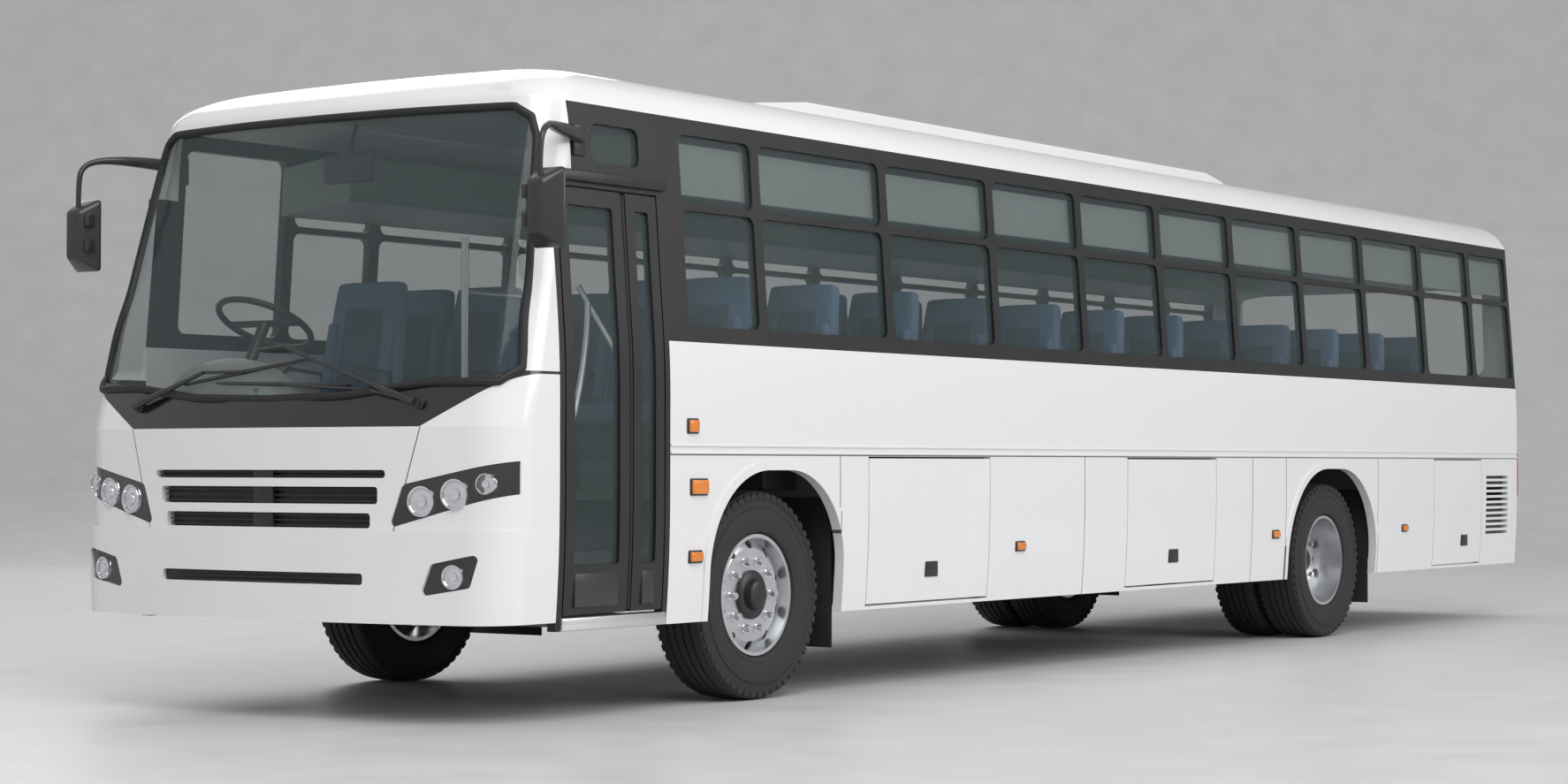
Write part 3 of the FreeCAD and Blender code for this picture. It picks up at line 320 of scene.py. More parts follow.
def rod(name, body, material, points, radius, closed=False, smooth=False, thick=None):
    """Round bar along points; thick holds one share of the radius for each point."""
    curve = bpy.data.curves.new(name, "CURVE")
    curve.dimensions = "3D"
    curve.bevel_depth = radius
    curve.bevel_resolution = 3
    curve.use_fill_caps = True
    spline = curve.splines.new("NURBS" if smooth else "POLY")
    spline.points.add(len(points) - 1)
    for i, (knot, point) in enumerate(zip(spline.points, points)):
        knot.co = (*point, 1.0)
        knot.radius = thick[i] if thick else 1.0
    spline.use_cyclic_u = closed
    if smooth:
        spline.order_u = 3
        spline.use_endpoint_u = not closed
    obj = bpy.data.objects.new(name, curve)
    bpy.context.scene.collection.objects.link(obj)
    alone()
    obj.select_set(True)
    bpy.context.view_layer.objects.active = obj
    bpy.ops.object.convert(target="MESH")
    return settle(name, body, material, 50.0)


def turning(name, body, material, outline, centre, axis, steps=32):
    """Body turned about an axis through centre from (along, radius) points."""
    alone()
    mesh = bpy.data.meshes.new(name)
    side = Vector((0, 0, 1)) if abs(axis[2]) < 0.9 else Vector((0, 1, 0))
    across = side - Vector(axis) * side.dot(Vector(axis))
    across.normalize()
    points = [Vector(centre) + Vector(axis) * along + across * radius for along, radius in outline]
    mesh.from_pydata(points, [(i, i + 1) for i in range(len(points) - 1)], [])
    obj = bpy.data.objects.new(name, mesh)
    bpy.context.scene.collection.objects.link(obj)
    obj.select_set(True)
    bpy.context.view_layer.objects.active = obj
    bpy.ops.object.mode_set(mode="EDIT")
    bpy.ops.mesh.select_all(action="SELECT")
    bpy.ops.mesh.spin(steps=steps, angle=2 * math.pi, center=centre, axis=axis)
    bpy.ops.mesh.select_all(action="SELECT")
    bpy.ops.mesh.remove_doubles(threshold=0.00002)
    bpy.ops.mesh.normals_make_consistent(inside=False)
    bpy.ops.object.mode_set(mode="OBJECT")
    return settle(name, body, material, 40.0)


def on_face(nodes, start, direction):
    """Where a line first meets any of these nodes, and the way their face looks there."""
    best = under_point(nodes, start, direction)
    if best is None:
        raise RuntimeError("nothing to lie on at %s" % (start,))
    return best


def under_point(nodes, start, direction):
    """The same, or None where the line misses them all."""
    best = None
    for name in nodes:
        hit, place, normal, _ = node_object(name).ray_cast(Vector(start), Vector(direction))
        if hit and (best is None or (place - Vector(start)).length < (best[0] - Vector(start)).length):
            best = (place, normal)
    return best


def islands(node):
    """Corners of the box round each separate solid of a node, from front to rear."""
    alone()
    source = node_object(node)
    source.select_set(True)
    bpy.context.view_layer.objects.active = source
    bpy.ops.object.duplicate()
    bpy.ops.object.mode_set(mode="EDIT")
    bpy.ops.mesh.select_all(action="SELECT")
    bpy.ops.mesh.remove_doubles(threshold=0.00005)
    bpy.ops.mesh.separate(type="LOOSE")
    bpy.ops.object.mode_set(mode="OBJECT")
    boxes = []
    for part in bpy.context.selected_objects:
        places = [v.co for v in part.data.vertices]
        boxes.append((Vector([min(p[i] for p in places) for i in range(3)]),
                      Vector([max(p[i] for p in places) for i in range(3)])))
    bpy.ops.object.delete()
    return sorted(boxes, key=lambda b: (round(b[0].y, 3), b[0].x))


def node_object(name):
    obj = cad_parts[name]
    return bpy.data.objects[obj] if isinstance(obj, str) else obj


FRONT_NODES = ["front_panel", "front_bumper", "headlamps", "windscreen_frame", "windscreen", "front_cap",
               "grille_mesh"]


def on_front(x, z):
    """Point of the front face, and its normal, at a place across and up."""
    return on_face(FRONT_NODES, (x, CAD_BOX[0][1] - 1.0, z), (0, 1, 0))


def on_side(sign, y, z, nodes=None):
    """Point of one side, and its normal, at a place along and up."""
    side = "left" if sign > 0 else "right"
    names = nodes or [side + "_side_panel", side + "_window_frame"]
    return on_face(names, (sign * (CAD_BOX[1][0] + 1.0), y, z), (-sign, 0, 0))


def dress(nodes, material):
    """Give frame nodes a material."""
    for name in nodes:
        obj = node_object(name)
        if not obj.data.materials:
            obj.data.materials.append(material)
        for i in range(len(obj.material_slots)):
            obj.material_slots[i].material = material


def pad(size, material, taper=0.0, crown=0.10, radius=0.028, levels=1):
    """Stuffed block about the origin: rounded, crowned and a little narrower at the top."""
    alone()
    bpy.ops.mesh.primitive_cube_add(size=1.0)
    bpy.context.object.scale = size
    bpy.ops.object.transform_apply(location=False, rotation=False, scale=True)
    bpy.ops.object.mode_set(mode="EDIT")
    bpy.ops.mesh.subdivide(number_cuts=2)
    bpy.ops.object.mode_set(mode="OBJECT")
    modified("BEVEL", width=radius, segments=2)
    if taper:
        modified("SIMPLE_DEFORM", deform_method="TAPER", deform_axis="Z", factor=-taper)
    modified("CAST", cast_type="SPHERE", factor=crown)
    if levels:
        modified("SUBSURF", levels=levels, render_levels=levels)
    piece = bpy.context.object
    bpy.ops.object.shade_smooth()
    piece.data.materials.clear()
    piece.data.materials.append(material)
    return piece


def copied(master, place, tilt=0.0):
    """Copy of a master piece put at a place, tilted backwards about X."""
    alone()
    master.select_set(True)
    bpy.context.view_layer.objects.active = master
    bpy.ops.object.duplicate()
    made = bpy.context.object
    made.rotation_euler = (-tilt, 0.0, 0.0)
    made.location = place
    bpy.ops.object.transform_apply(location=True, rotation=True, scale=True)
    return made


def dropped(masters):
    """Delete master pieces once they have been copied."""
    alone()
    for master in masters:
        master.select_set(True)
    bpy.ops.object.delete()


class BUS_OT_seats(bpy.types.Operator):
    """Put padded seats where the frame's plain ones stand"""
    bl_idname = "bus.seats"
    bl_label = "Seats"

    def execute(self, context):
        look = context.scene.bus_finish
        cloth = plain("seat_cloth_edge", tuple(look.seat), 0.8, vary=0.15, grain=0.0015, scale=260.0)
        centre = plain("seat_cloth_centre", tuple(c * 0.42 for c in look.seat), 0.9, vary=0.2, grain=0.002,
                       scale=320.0)
        shell = plain("seat_shell", (0.03, 0.032, 0.036), 0.55, vary=0.15, grain=0.0006)
        rise = 0.62          # cushion top to the top of the back
        lean = math.radians(9.0)
        for node, people in (("passenger_seats", 2), ("driver_seat", 1)):
            solids = islands(node)
            width = (solids[0][1].x - solids[0][0].x) / people - 0.012
            cushion = pad((width, 0.45, 0.105), cloth, crown=0.05)
            back = pad((width, 0.085, 0.66), cloth, taper=0.16, crown=0.04, radius=0.032)
            inlay = pad((width * 0.56, 0.03, 0.47), centre, taper=0.12, crown=0.03, radius=0.012)
            seat_inlay = pad((width * 0.56, 0.36, 0.03), centre, crown=0.03, radius=0.012)
            wing = pad((0.055, 0.06, 0.40), cloth, taper=0.2, crown=0.08, radius=0.018, levels=0)
            pads, inlays, shells = [], [], []
            for low, high in solids:
                seat_z = high.z - rise
                for i in range(people):
                    x = low.x + (i + 0.5) * (high.x - low.x) / people
                    pads.append(copied(cushion, (x, low.y + 0.232, seat_z - 0.054)))
                    pads.append(copied(back, (x, low.y + 0.478, seat_z + 0.29), lean))
                    inlays.append(copied(inlay, (x, low.y + 0.436, seat_z + 0.25), lean))
                    inlays.append(copied(seat_inlay, (x, low.y + 0.24, seat_z - 0.006)))
                    for side in (-1, 1):
                        beside = x + side * (width / 2 - 0.045)
                        pads.append(copied(wing, (beside, low.y + 0.425, seat_z + 0.22), lean))
                inner, outer = low.x + 0.16, high.x - 0.16
                shells.append(block("plinth", None, shell, (inner, low.y + 0.07, low.z),
                                    (outer, low.y + 0.36, seat_z - 0.1), 0.015))
                for x in (low.x + 0.012, high.x - 0.012):
                    path = [(x, low.y + 0.42, seat_z + 0.0), (x, low.y + 0.40, seat_z + 0.16),
                            (x, low.y + 0.17, seat_z + 0.18), (x, low.y + 0.11, seat_z + 0.15)]
                    shells.append(rod("arm_rest", None, shell, path, 0.012))
            dropped([cushion, back, inlay, seat_inlay, wing])
            name = node[:-1] if node.endswith("s") else node
            cloth_piece = joined(pads, name + "_pads")
            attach(cloth_piece, "body")
            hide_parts(node)
            inlay_piece = joined(inlays, name + "_centres")
            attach(inlay_piece, "body")
            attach(joined(shells, name + "_frames"), "body")
        return {"FINISHED"}


class BUS_OT_tyres(bpy.types.Operator):
    """Turn grooved tyres in place of the plain ones"""
    bl_idname = "bus.tyres"
    bl_label = "Tyres"

    def execute(self, context):
        black_tyre = bpy.data.materials["tyre_rubber"]
        for side in ("left", "right"):
            for end in ("front", "rear"):
                node = "%s_%s_tyre" % (side, end)
                pieces = []
                for low, high in islands(node):
                    centre = (low + high) / 2
                    half, top = (high.x - low.x) / 2, (high.z - low.z) / 2
                    outline = self.profile(half, top)
                    pieces.append(turning("tyre", None, black_tyre, outline, centre, (1, 0, 0), 96))
                    for sign in (-1, 1):
                        pieces.append(self.lugs(black_tyre, centre, sign * half, top))
                body = "%s_%s_wheel_set" % (side, end)
                tyre = joined(pieces, node + "_tread")
                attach(tyre, body)
                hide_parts(node)
        return {"FINISHED"}

    def profile(self, half, top):
        """Closed section from one bead over the tread to the other."""
        bead = 0.2925
        side = [(-half + 0.036, bead), (-half + 0.012, bead + 0.012), (-half + 0.006, bead + 0.03),
                (-half + 0.0085, bead + 0.034), (-half + 0.002, bead + 0.062), (-half, bead + 0.09),
                (-half + 0.003, top - 0.088), (-half, top - 0.085), (-half, top - 0.08),
                (-half + 0.005, top - 0.077), (-half + 0.009, top - 0.05), (-half + 0.004, top - 0.044),
                (-half + 0.008, top - 0.02), (-half + 0.02, top - 0.006)]
        tread = []
        for place in (-0.066, -0.022, 0.022, 0.066):
            tread += [(place - 0.006, top), (place - 0.004, top - 0.013), (place + 0.004, top - 0.013),
                      (place + 0.006, top)]
        for i, (along, radius) in enumerate(tread):
            tread[i] = (along, radius - 0.004 * (along / half) ** 2)
        points = side + tread + [(-along, radius) for along, radius in reversed(side)]
        return points + points[:1]

    def lugs(self, material, centre, edge, top):
        """Shoulder blocks round one edge of the tread."""
        sign = 1 if edge > 0 else -1
        count = 54
        alone()
        bpy.ops.mesh.primitive_cube_add(
            size=1.0, location=(centre.x + edge - sign * 0.009, centre.y, centre.z + top - 0.026))
        bpy.context.object.scale = (0.016, 0.034, 0.028)
        bpy.ops.object.transform_apply(location=True, rotation=True, scale=True)
        modified("BEVEL", width=0.003, segments=1)
        master = bpy.context.object
        blocks = [master]
        for i in range(1, count):
            alone()
            master.select_set(True)
            bpy.context.view_layer.objects.active = master
            bpy.ops.object.duplicate()
            made = bpy.context.object
            turn = Matrix.Translation(centre) @ Matrix.Rotation(2 * math.pi * i / count, 4, "X")
            made.matrix_world = turn @ Matrix.Translation(-centre)
            blocks.append(made)
        alone()
        for made in blocks:
            made.select_set(True)
        bpy.context.view_layer.objects.active = master
        bpy.ops.object.transform_apply(location=True, rotation=True, scale=True)
        bpy.ops.object.join()
        return settle("lugs", None, material)


class BUS_OT_mirrors(bpy.types.Operator):
    """Shape the mirrors and their arms in place of the plain ones"""
    bl_idname = "bus.mirrors"
    bl_label = "Mirrors"

    def execute(self, context):
        shell = bpy.data.materials["black_trim"]
        pieces, faces = [], []
        for low, high in islands("mirrors"):
            sign = 1 if low.x + high.x > 0 else -1
            outer = max(abs(low.x), abs(high.x))
            inner = min(abs(low.x), abs(high.x))
            stem_x = outer - 0.10
            head_low, head_high = low.z, low.z + 0.364
            front = low.y
            alone()
            bpy.ops.mesh.primitive_cube_add(size=1.0, location=(0, 0, 0))
            head = context.object
            head.scale = (0.19, 0.115, 0.36)
            bpy.ops.object.transform_apply(location=True, rotation=True, scale=True)
            bpy.ops.object.mode_set(mode="EDIT")
            bpy.ops.mesh.select_all(action="DESELECT")
            bpy.ops.object.mode_set(mode="OBJECT")
            for face in head.data.polygons:
                face.select = face.normal.y < -0.9
            bpy.ops.object.mode_set(mode="EDIT")
            bpy.ops.transform.resize(value=(0.45, 1.0, 0.62))
            bpy.ops.object.mode_set(mode="OBJECT")
            modified("BEVEL", width=0.022, segments=4)
            head.location = (sign * stem_x, front + 0.0595, (head_low + head_high) / 2)
            pieces.append(settle("head", None, shell))
            y = front + 0.1165
            faces.append(block("glass", None, chrome(), (sign * stem_x - 0.075, y - 0.004, head_low + 0.03),
                               (sign * stem_x + 0.075, y + 0.0015, head_high - 0.03), 0.001))
            stem_y = front + 0.045
            top = high.z
            horn = [(sign * (inner + 0.012), high.y - 0.045, top - 0.055),
                    (sign * (inner + 0.05), high.y - 0.16, top - 0.045),
                    (sign * (inner + 0.10), high.y - 0.33, top - 0.040),
                    (sign * (stem_x - 0.03), stem_y + 0.09, top - 0.045),
                    (sign * stem_x, stem_y + 0.02, top - 0.08), (sign * stem_x, stem_y, top - 0.16),
                    (sign * stem_x, stem_y, head_low + 0.30)]
            pieces.append(rod("horn", None, shell, horn, 0.034, smooth=True,
                              thick=(1.0, 0.95, 0.7, 0.45, 0.4, 0.38, 0.36)))
            for z in (head_low + 0.25, head_low + 0.13):
                x = sorted((sign * (stem_x - 0.09), sign * (stem_x - 0.06)))
                pieces.append(block("clamp", None, shell, (x[0], stem_y - 0.02, z - 0.03),
                                    (x[1], stem_y + 0.03, z + 0.03), 0.008))
            x = sorted((sign * inner, sign * (inner + 0.022)))
            pieces.append(block("bracket", None, shell, (x[0], high.y - 0.09, top - 0.14),
                                (x[1], high.y - 0.002, top - 0.002), 0.008))
        arms = joined(pieces, "mirror_arms_and_heads")
        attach(arms, "body")
        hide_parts("mirrors")
        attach(joined(faces, "mirror_glasses"), "body")
        return {"FINISHED"}


class BUS_OT_wipers(bpy.types.Operator):
    """Lay jointed wiper arms and blades on the windscreen in place of the plain ones"""
    bl_idname = "bus.wipers"
    bl_label = "Wipers"

    def along(self, start, end, lift, steps=10):
        """Points over the glass between two (x, z) places, lifted off it."""
        points = []
        for i in range(steps + 1):
            x = start[0] + (end[0] - start[0]) * i / steps
            z = start[1] + (end[1] - start[1]) * i / steps
            place, _ = on_front(x, z)
            points.append(place + Vector((0.0, -lift, 0.0)))
        return points

    def execute(self, context):
        shell = bpy.data.materials["black_trim"]
        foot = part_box("wipers")[0][2] + 0.022
        pieces = []
        for sign, elbow, blade in ((-1, (-0.42, 1.545), ((-0.56, 1.49), (0.24, 1.60))),
                                   (1, (0.06, 1.655), ((-0.34, 1.495), (0.46, 1.475)))):
            pivot = (sign * 0.858, foot)
            place, _ = on_front(*pivot)
            cap = [(-0.03, 0.03), (0.012, 0.03), (0.016, 0.024), (0.03, 0.022), (0.034, 0.0)]
            pieces.append(turning("pivot", None, shell, cap, place, (0, -1, 0), 24))
            arm = self.along(pivot, elbow, 0.036)
            thick = [1.0, 1.0, 0.95] + [0.8 - 0.04 * i for i in range(len(arm) - 3)]
            pieces.append(rod("arm", None, shell, arm, 0.017, thick=thick))
            beam = self.along(blade[0], blade[1], 0.016)
            thick = [0.35] + [0.7 + 0.09 * min(i, 8 - i) for i in range(9)] + [0.35]
            pieces.append(rod("beam", None, shell, beam, 0.011, thick=thick))
            edge = self.along(blade[0], blade[1], 0.005)
            pieces.append(rod("edge", None, shell, edge, 0.005))
            if sign < 0:
                middle = ((blade[0][0] + blade[1][0]) / 2, (blade[0][1] + blade[1][1]) / 2)
                pieces.append(rod("link", None, shell, self.along(elbow, middle, 0.027), 0.008))
            else:
                pieces.append(rod("link", None, shell, self.along((0.60, 1.452), (0.06, 1.484), 0.024), 0.008))
                pieces.append(rod("stay", None, shell, self.along(pivot, (0.60, 1.452), 0.028), 0.008))
                pieces.append(rod("hook", None, shell, self.along(elbow, (-0.10, 1.64), 0.024), 0.008))
        arms = joined(pieces, "wiper_arms")
        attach(arms, "body")
        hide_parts("wipers")
        return {"FINISHED"}


class BUS_OT_cab(bpy.types.Operator):
    """Add the instrument hood, the dashboard's top and the inside mirror"""
    bl_idname = "bus.cab"
    bl_label = "Cab"

    def execute(self, context):
        dash = bpy.data.materials["interior_plastic"]
        low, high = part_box("dashboard")
        alone()
        bpy.ops.mesh.primitive_uv_sphere_add(segments=40, ring_count=20, radius=1.0,
                                             location=(-0.70, low[1] + 0.30, 1.36))
        context.object.scale = (0.40, 0.26, 0.27)
        settle("instrument_hood", "body", dash, 60.0)
        block("dashboard_top", "body", dash, (low[0] + 0.02, low[1] + 0.01, 1.34),
              (high[0] - 0.02, low[1] + 0.40, 1.39), 0.02)
        vents = [block("vent", None, black(), (x, low[1] + 0.06, 1.386), (x + 0.07, low[1] + 0.09, 1.394),
                       0.002)
                 for x in (0.02, 0.13, 0.24, 0.35, 0.46, 0.57, 0.68)]
        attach(joined(vents, "dashboard_vents"), "body")
        mirror = [block("mirror", None, black(), (-0.14, -5.47, 2.42), (0.16, -5.43, 2.56), 0.02),
                  rod("stem", None, black(), [(0.01, -5.45, 2.54), (0.01, -5.40, 2.70)], 0.01)]
        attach(joined(mirror, "inside_mirror"), "body")
        return {"FINISHED"}


class BUS_OT_rear(bpy.types.Operator):
    """Add the round rear lamps and the bare plate"""
    bl_idname = "bus.rear"
    bl_label = "Rear details"

    def execute(self, context):
        rear = CAD_BOX[1][1]
        lamps = []
        for sign in (1, -1):
            for z, make in ((1.80, amber), (0.78, clear)):
                place, _ = on_face(["rear_panel"], (sign * 1.12, rear + 1.0, z), (0, -1, 0))
                dome = [(-0.012, 0.05), (0.005, 0.05), (0.009, 0.044), (0.011, 0.0)]
                lamps.append(turning("lamp", None, make(), dome, place, (0, 1, 0), 28))
        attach(joined(lamps, "rear_round_lamps"), "body")
        place, _ = on_face(["engine_lid"], (0.0, rear + 1.0, 1.22), (0, -1, 0))
        block("rear_plate", "engine_lid_body", bpy.data.materials["white_paint"],
              (-0.26, place.y - 0.012, 1.16), (0.26, place.y + 0.001, 1.28), 0.0015)
        return {"FINISHED"}


class BUS_OT_grille(bpy.types.Operator):
    """Fill the grille and the intake with fins and centre blocks, with a black block behind the intake fins as
    painted shade
    """
    bl_idname = "bus.grille"
    bl_label = "Grille"

    def execute(self, context):
        fins, blocks = [], []
        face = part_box("front_panel")[0][1]
        for half, low, high in ((0.69, 1.068, 1.103), (0.65, 0.955, 1.03), (0.611, 0.85, 0.915),
                                (0.6, 0.605, 0.655)):
            deep = face + 0.022 if low > 0.8 else CAD_BOX[0][1] + 0.02
            rows = 3 if high - low > 0.045 else 2
            for i in range(rows):
                z = low + (i + 0.5) * (high - low) / rows
                points = [(x, deep + x * x / 12.8, z) for x in [half * (j / 6 - 1) for j in range(13)]]
                fins.append(rod("fin", None, black(), points, 0.0035))
            if low > 0.8:
                blocks.append(block("centre", None, black(), (-0.06, face + 0.012, low + 0.001),
                                    (0.06, face + 0.03, high - 0.001), 0.002))
        # The black block behind the intake fins is painted shade: it stands in for the shadow inside the intake
        # openings.
        front = CAD_BOX[0][1]
        blocks.append(block("backing", None, black(), (-0.605, front + 0.045, 0.607),
                            (0.605, front + 0.11, 0.653), 0.002))
        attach(joined(fins, "grille_fins"), "body")
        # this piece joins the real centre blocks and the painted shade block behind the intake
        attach(joined(blocks, "grille_centre_blocks"), "body")
        return {"FINISHED"}


class BUS_OT_doors(bpy.types.Operator):
    """Edge the door leaves with rubber and add kick panels and stair rails"""
    bl_idname = "bus.doors"
    bl_label = "Door details"

    def execute(self, context):
        for leaf, free in (("front_door", 1), ("rear_door", 0)):
            low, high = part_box(leaf)
            y = high[1] + 0.0085 if free else low[1] - 0.0085
            inside = high[1] - 0.01 if free else low[1] + 0.01
            strips = []
            for depth in (0.010, 0.030):
                points = []
                for i in range(17):
                    z = low[2] + 0.01 + (high[2] - low[2] - 0.02) * i / 16
                    place, _ = on_face([leaf], (CAD_BOX[1][0] + 1.0, inside, z), (-1, 0, 0))
                    points.append((place.x - depth, y, z))
                strips.append(rod("strip", None, rubber(), points, 0.0085))
            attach(joined(strips, leaf + "_edge_rubber"), leaf + "_leaf")
            place, _ = on_face([leaf], (CAD_BOX[1][0] + 1.0, inside, low[2] + 0.12), (-1, 0, 0))
            block(leaf + "_kick_panel", leaf + "_leaf", bpy.data.materials["black_trim"],
                  (place.x - 0.01, low[1] + 0.07, low[2] + 0.03),
                  (place.x + 0.006, high[1] - 0.07, low[2] + 0.18), 0.004)
        low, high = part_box("entrance_steps")
        steel = bpy.data.materials["steel_rail"]
        rails = [rod("rail", None, steel, [(1.10, high[1] - 0.06, 1.06), (1.10, high[1] - 0.06, 1.95)], 0.016),
                 rod("rail", None, steel, [(1.10, high[1] - 0.06, 1.55), (0.86, high[1] - 0.12, 1.95)], 0.014),
                 rod("rail", None, steel, [(1.14, low[1] + 0.10, 0.95), (1.12, low[1] + 0.42, 1.45),
                                           (1.12, low[1] + 0.42, 1.85)], 0.015, smooth=True)]
        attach(joined(rails, "stair_rails"), "body")
        return {"FINISHED"}


class BUS_OT_finishes(bpy.types.Operator):
    """Give every frame node its finish"""
    bl_idname = "bus.finishes"
    bl_label = "Finishes"

    def execute(self, context):
        look = context.scene.bus_finish
        nodes = list(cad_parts)
        white = plain("white_paint", tuple(look.white), 0.22, vary=0.015, Coat_Weight=0.6, Coat_Roughness=0.05)
        seamed = side_paint(tuple(look.white))
        cowl = cowl_paint(tuple(look.white), tuple(look.trim))
        trim = plain("black_trim", tuple(look.trim), 0.38, vary=0.2, grain=0.0004)
        dress(nodes, white)
        dress(["left_side_panel", "right_side_panel"], seamed)
        dress(["windscreen_frame"], cowl)
        dress(["front_panel"], front_paint(tuple(look.white)))
        dress([n for n in nodes if "window_frame" in n] +
              ["front_door", "rear_door", "entrance_frame", "mirrors", "wipers", "steering_wheel"], trim)
        tint = glass("tinted_glass", (0.09, 0.125, 0.125), 0.2)
        dress([n for n in nodes if n.endswith("_glass")] +
              ["side_windows", "quarter_window", "windscreen", "rear_window"], tint)
        dress(["headlamps"], plain("headlamp_black", (0.02, 0.02, 0.022), 0.12, Coat_Weight=0.8))
        dress(["grille_mesh"], plain("black_mesh", (0.012, 0.012, 0.013), 0.5, grain=0.004, scale=60.0))
        dress(["tail_lamps"], plain("red_lens", (0.45, 0.012, 0.015), 0.12, Coat_Weight=0.8))
        dress([n for n in nodes if n.endswith("_tyre")],
              plain("tyre_rubber", (0.022, 0.022, 0.023), 0.72, vary=0.2, grain=0.0015, scale=160.0))
        dress([n for n in nodes if n.endswith("front_wheel") or n.endswith("rear_wheel")],
              plain("wheel_silver", (0.62, 0.63, 0.65), 0.3, 0.85, vary=0.05))
        dress(["tow_plate", "frame_rails", "cross_members", "outriggers", "front_axle", "rear_axle",
               "leaf_springs", "engine", "left_knuckle", "right_knuckle", "mud_flaps"],
              plain("chassis_black", (0.02, 0.02, 0.02), 0.6, vary=0.3, grain=0.002))
        dress(["floor", "entrance_steps", "luggage_bays"],
              plain("floor_vinyl", (0.12, 0.13, 0.13), 0.55, vary=0.1, grain=0.0005))
        dress(["dashboard", "overhead_ducts"], plain("interior_plastic", (0.25, 0.29, 0.28), 0.5, grain=0.0005))
        dress(["passenger_seats", "driver_seat"], plain("seat_cloth", tuple(look.seat), 0.85, vary=0.2,
                                                        grain=0.002, scale=300.0))
        dress(["grab_rails"], plain("steel_rail", (0.6, 0.62, 0.62), 0.25, 0.9))
        return {"FINISHED"}


class BUS_OT_front_lamps(bpy.types.Operator):
    """Set round lenses in the headlamp clusters and fog lamp pockets"""
    bl_idname = "bus.front_lamps"
    bl_label = "Front lamps"

    def execute(self, context):
        lamps = ((0.887, 0.968, 0.066), (1.053, 0.999, 0.066), (1.192, 1.043, 0.045), (1.067, 0.646, 0.052))
        rings, bowls, domes = [], [], []
        for sign in (1, -1):
            for x, z, radius in lamps:
                place, _ = on_front(sign * x, z)
                way = Vector((sign * 0.18, -1.0, 0.02)).normalized()
                ring = [(0.004, radius * 0.86), (0.014, radius * 0.9), (0.016, radius), (0.0, radius * 1.06),
                        (-0.012, radius * 1.06)]
                rings.append(turning("ring", None, chrome(), ring, place, way))
                bowl = [(0.003, radius * 0.88), (0.002, radius * 0.6), (0.003, radius * 0.42),
                        (0.012, radius * 0.36), (0.016, radius * 0.2), (0.017, 0.0)]
                bowls.append(turning("bowl", None, chrome(), bowl, place, way))
                dome = [(0.006, radius * 0.9), (0.016, radius * 0.75), (0.023, radius * 0.45), (0.026, 0.0)]
                domes.append(turning("dome", None, clear(), dome, place, way))
        for pieces, name in ((rings, "lamp_rings"), (bowls, "lamp_reflectors"), (domes, "lamp_domes")):
            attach(joined(pieces, name), "body")
        markers = []
        for sign in (1, -1):
            place, _ = on_front(sign * 0.96, 2.79)
            markers.append(block("marker", None, clear(), place + Vector((-0.055, -0.012, -0.022)),
                                 place + Vector((0.055, 0.02, 0.022)), 0.012))
        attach(joined(markers, "roof_marker_lamps"), "body")
        return {"FINISHED"}


class BUS_OT_side_lamps(bpy.types.Operator):
    """Fix the amber lamps and the recessed handles to the sides"""
    bl_idname = "bus.side_lamps"
    bl_label = "Side lamps and handles"

    def execute(self, context):
        lenses, seats = [], []
        ahead = ((-4.534, 1.304, 0.035, 0.028), (-4.485, 1.023, 0.06, 0.032), (-4.505, 0.702, 0.045, 0.022))
        along = ((-1.525, 0.685, 0.042, 0.02), (1.678, 0.689, 0.042, 0.02), (3.721, 0.693, 0.038, 0.018))
        for sign in (1, -1):
            for y, z, half, tall in ahead + along:
                place, _ = on_side(sign, y, z)
                x = sorted((place.x - sign * 0.01, place.x + sign * 0.02))
                lenses.append(block("lens", None, amber(), (x[0], y - half, z - tall),
                                    (x[1], y + half, z + tall), 0.007))
                x = sorted((place.x - sign * 0.01, place.x + sign * 0.008))
                seats.append(block("seat", None, black(), (x[0], y - half - 0.008, z - tall - 0.008),
                                   (x[1], y + half + 0.008, z + tall + 0.008), 0.006))
        for lid, y in (("left_front_locker", -2.431), ("left_middle_locker", 0.289), ("left_service_lid", 4.805),
                       ("right_front_locker", -2.431), ("right_middle_locker", 0.289)):
            sign = 1 if lid.startswith("left") else -1
            place, _ = on_side(sign, y, 0.588, [lid])
            handles = []
            for i, (half, tall, out) in enumerate(((0.062, 0.04, 0.004), (0.052, 0.012, 0.007))):
                x = sorted((place.x - sign * 0.01, place.x + sign * out))
                up = 0.0 if i == 0 else 0.018
                handles.append(block("pull", None, black(), (x[0], y - half, 0.588 - tall + up),
                                     (x[1], y + half, 0.588 + tall + up), 0.003))
            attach(joined(handles, lid + "_handle"), lid + "_lid")
        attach(joined(lenses, "side_lamp_lenses"), "body")
        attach(joined(seats, "side_lamp_seats"), "body")
        return {"FINISHED"}


